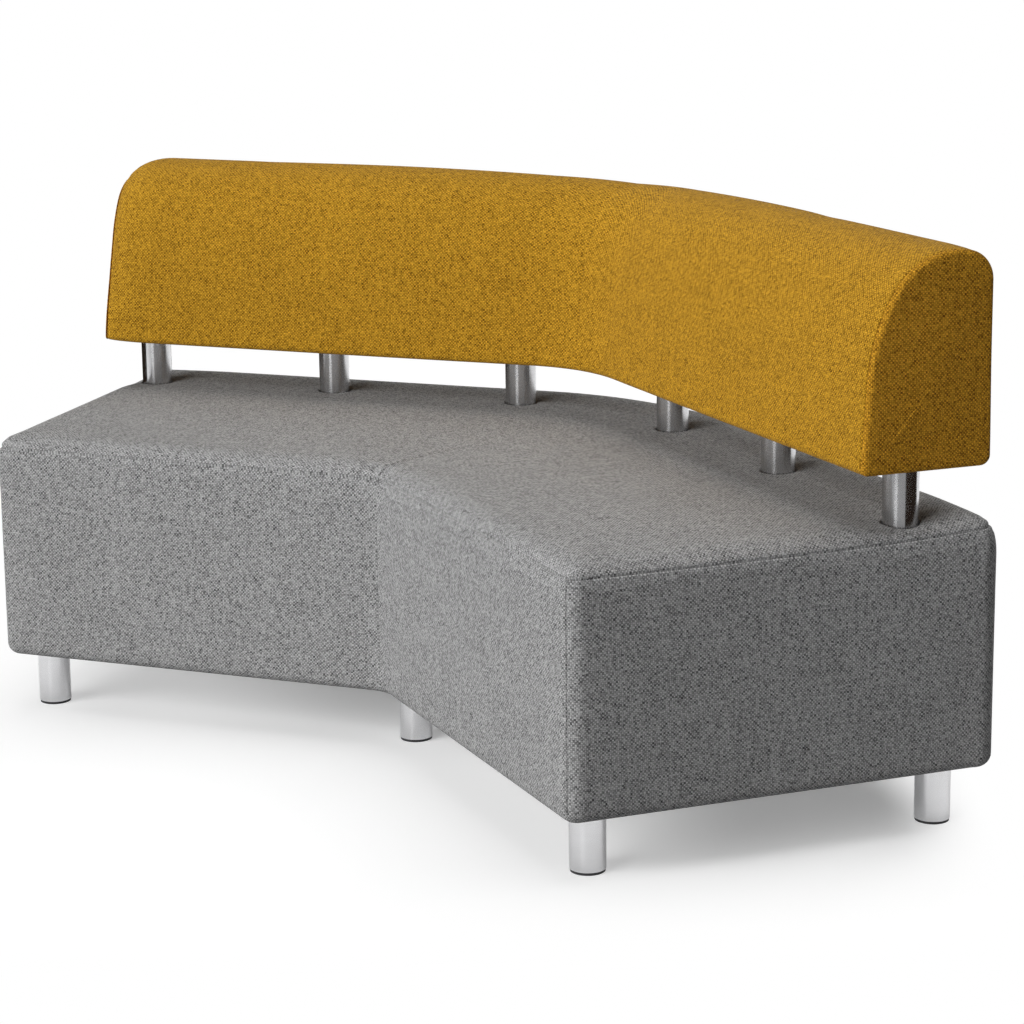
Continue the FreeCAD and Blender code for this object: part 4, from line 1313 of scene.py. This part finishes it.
def stand_card(name, place, size, tint, strength=1.0):
    """Stand a card on the floor, facing the sofa, that only reflections show."""
    finish = Finish(name)
    finish.show(finish.emission(strength, tint))
    sideways = Vector((-place[1], place[0], 0)).normalized() * (size[0] / 2)
    foot, lift = Vector(place), Vector((0, 0, size[1]))
    corners = [foot - sideways, foot + sideways, foot + sideways + lift, foot - sideways + lift]
    mesh = bpy.data.meshes.new(name)
    mesh.from_pydata(corners, [], [(0, 1, 2, 3)])
    mesh.materials.append(finish.material)
    card = bpy.data.objects.new(name, mesh)
    card.visible_camera = card.visible_diffuse = card.visible_shadow = card.visible_transmission = False
    bpy.context.scene.collection.objects.link(card)


def hang_lamp(name, strength, spread, way):
    """Hang a broad lamp far off, in the way that its light comes from."""
    light = bpy.data.lights.new(name, "SUN")
    light.energy = strength
    light.angle = spread
    lamp = bpy.data.objects.new(name, light)
    lamp.rotation_mode = "QUATERNION"
    lamp.rotation_quaternion = Vector(way).to_track_quat("Z", "Y")
    lamp.visible_glossy = False
    bpy.context.scene.collection.objects.link(lamp)


class SOFA_OT_studio(bpy.types.Operator):
    """Make the floor, the light and the camera"""

    bl_idname = "sofa.studio"
    bl_label = "Studio"

    def execute(self, context):
        scene = context.scene
        studio = scene.sofa_studio
        scene.view_settings.view_transform = "Standard"
        reach = FLOOR_REACH
        mesh = bpy.data.meshes.new("studio_floor")
        corners = [(-reach, -reach, 0), (reach, -reach, 0), (reach, reach, 0), (-reach, reach, 0)]
        mesh.from_pydata(corners, [], [(0, 1, 2, 3)])
        mesh.materials.append(floor_finish(studio))
        floor = bpy.data.objects.new("studio_floor", mesh)
        scene.collection.objects.link(floor)

        hang_lamp("key", studio.key, studio.key_spread, studio.key_way)
        hang_lamp("top", studio.top, studio.top_spread, studio.top_way)
        hang_lamp("rear", studio.rear, studio.rear_spread, studio.rear_way)

        scene.world = studio_sky(studio)
        stand_card("flag", studio.flag_place, FLAG_SIZE, studio.flag)
        stand_card("screen", studio.screen_place, SCREEN_SIZE, studio.flag)
        stand_card("slat", studio.slat_place, SLAT_SIZE, studio.flag)
        stand_card("strip", studio.strip_place, STRIP_SIZE, WHITE, studio.strip)

        view = bpy.data.cameras.new("camera")
        view.lens = studio.lens
        view.sensor_width = SENSOR
        view.shift_x, view.shift_y = studio.shift
        view.clip_end = 4 * FLOOR_REACH
        camera = bpy.data.objects.new("camera", view)
        turned = (
            Matrix.Rotation(studio.yaw, 4, "Z")
            @ Matrix.Rotation(QUARTER - studio.pitch, 4, "X")
            @ Matrix.Rotation(studio.roll, 4, "Z")
        )
        camera.matrix_world = Matrix.Translation(studio.eye) @ turned
        scene.collection.objects.link(camera)
        scene.camera = camera
        return {"FINISHED"}


OPERATORS = (
    SOFA_OT_seat_tops,
    SOFA_OT_seat_sides,
    SOFA_OT_back_wraps,
    SOFA_OT_back_ends,
    SOFA_OT_finishes,
    SOFA_OT_studio,
)
GROUPS = {
    "sofa_seat": SofaSeatSizes,
    "sofa_back": SofaBackSizes,
    "sofa_seams": SofaSeamSizes,
    "sofa_looks": SofaLooks,
    "sofa_studio": SofaStudio,
}


class SOFA_PT_panel(bpy.types.Panel):
    """Sizes, colours and steps of the sofa"""

    bl_idname = "SOFA_PT_panel"
    bl_label = "Bent bench sofa"
    bl_space_type = "VIEW_3D"
    bl_region_type = "UI"
    bl_category = "Sofa"

    def draw(self, context):
        for operator in OPERATORS:
            self.layout.operator(operator.bl_idname)
        for name, group in GROUPS.items():
            box = self.layout.box()
            for key in group.__annotations__:
                box.prop(getattr(context.scene, name), key)


def register():
    for group in GROUPS.values():
        bpy.utils.register_class(group)
    for name, group in GROUPS.items():
        setattr(bpy.types.Scene, name, PointerProperty(type=group))
    for operator in OPERATORS:
        bpy.utils.register_class(operator)
    bpy.utils.register_class(SOFA_PT_panel)


def unregister():
    bpy.utils.unregister_class(SOFA_PT_panel)
    for operator in reversed(OPERATORS):
        bpy.utils.unregister_class(operator)
    for name, group in GROUPS.items():
        delattr(bpy.types.Scene, name)
        bpy.utils.unregister_class(group)


def main():
    register()
    for step in ("seat_tops", "seat_sides", "back_wraps", "back_ends", "finishes", "studio"):
        getattr(bpy.ops.sofa, step)()


if __name__ == "__main__":
    main()
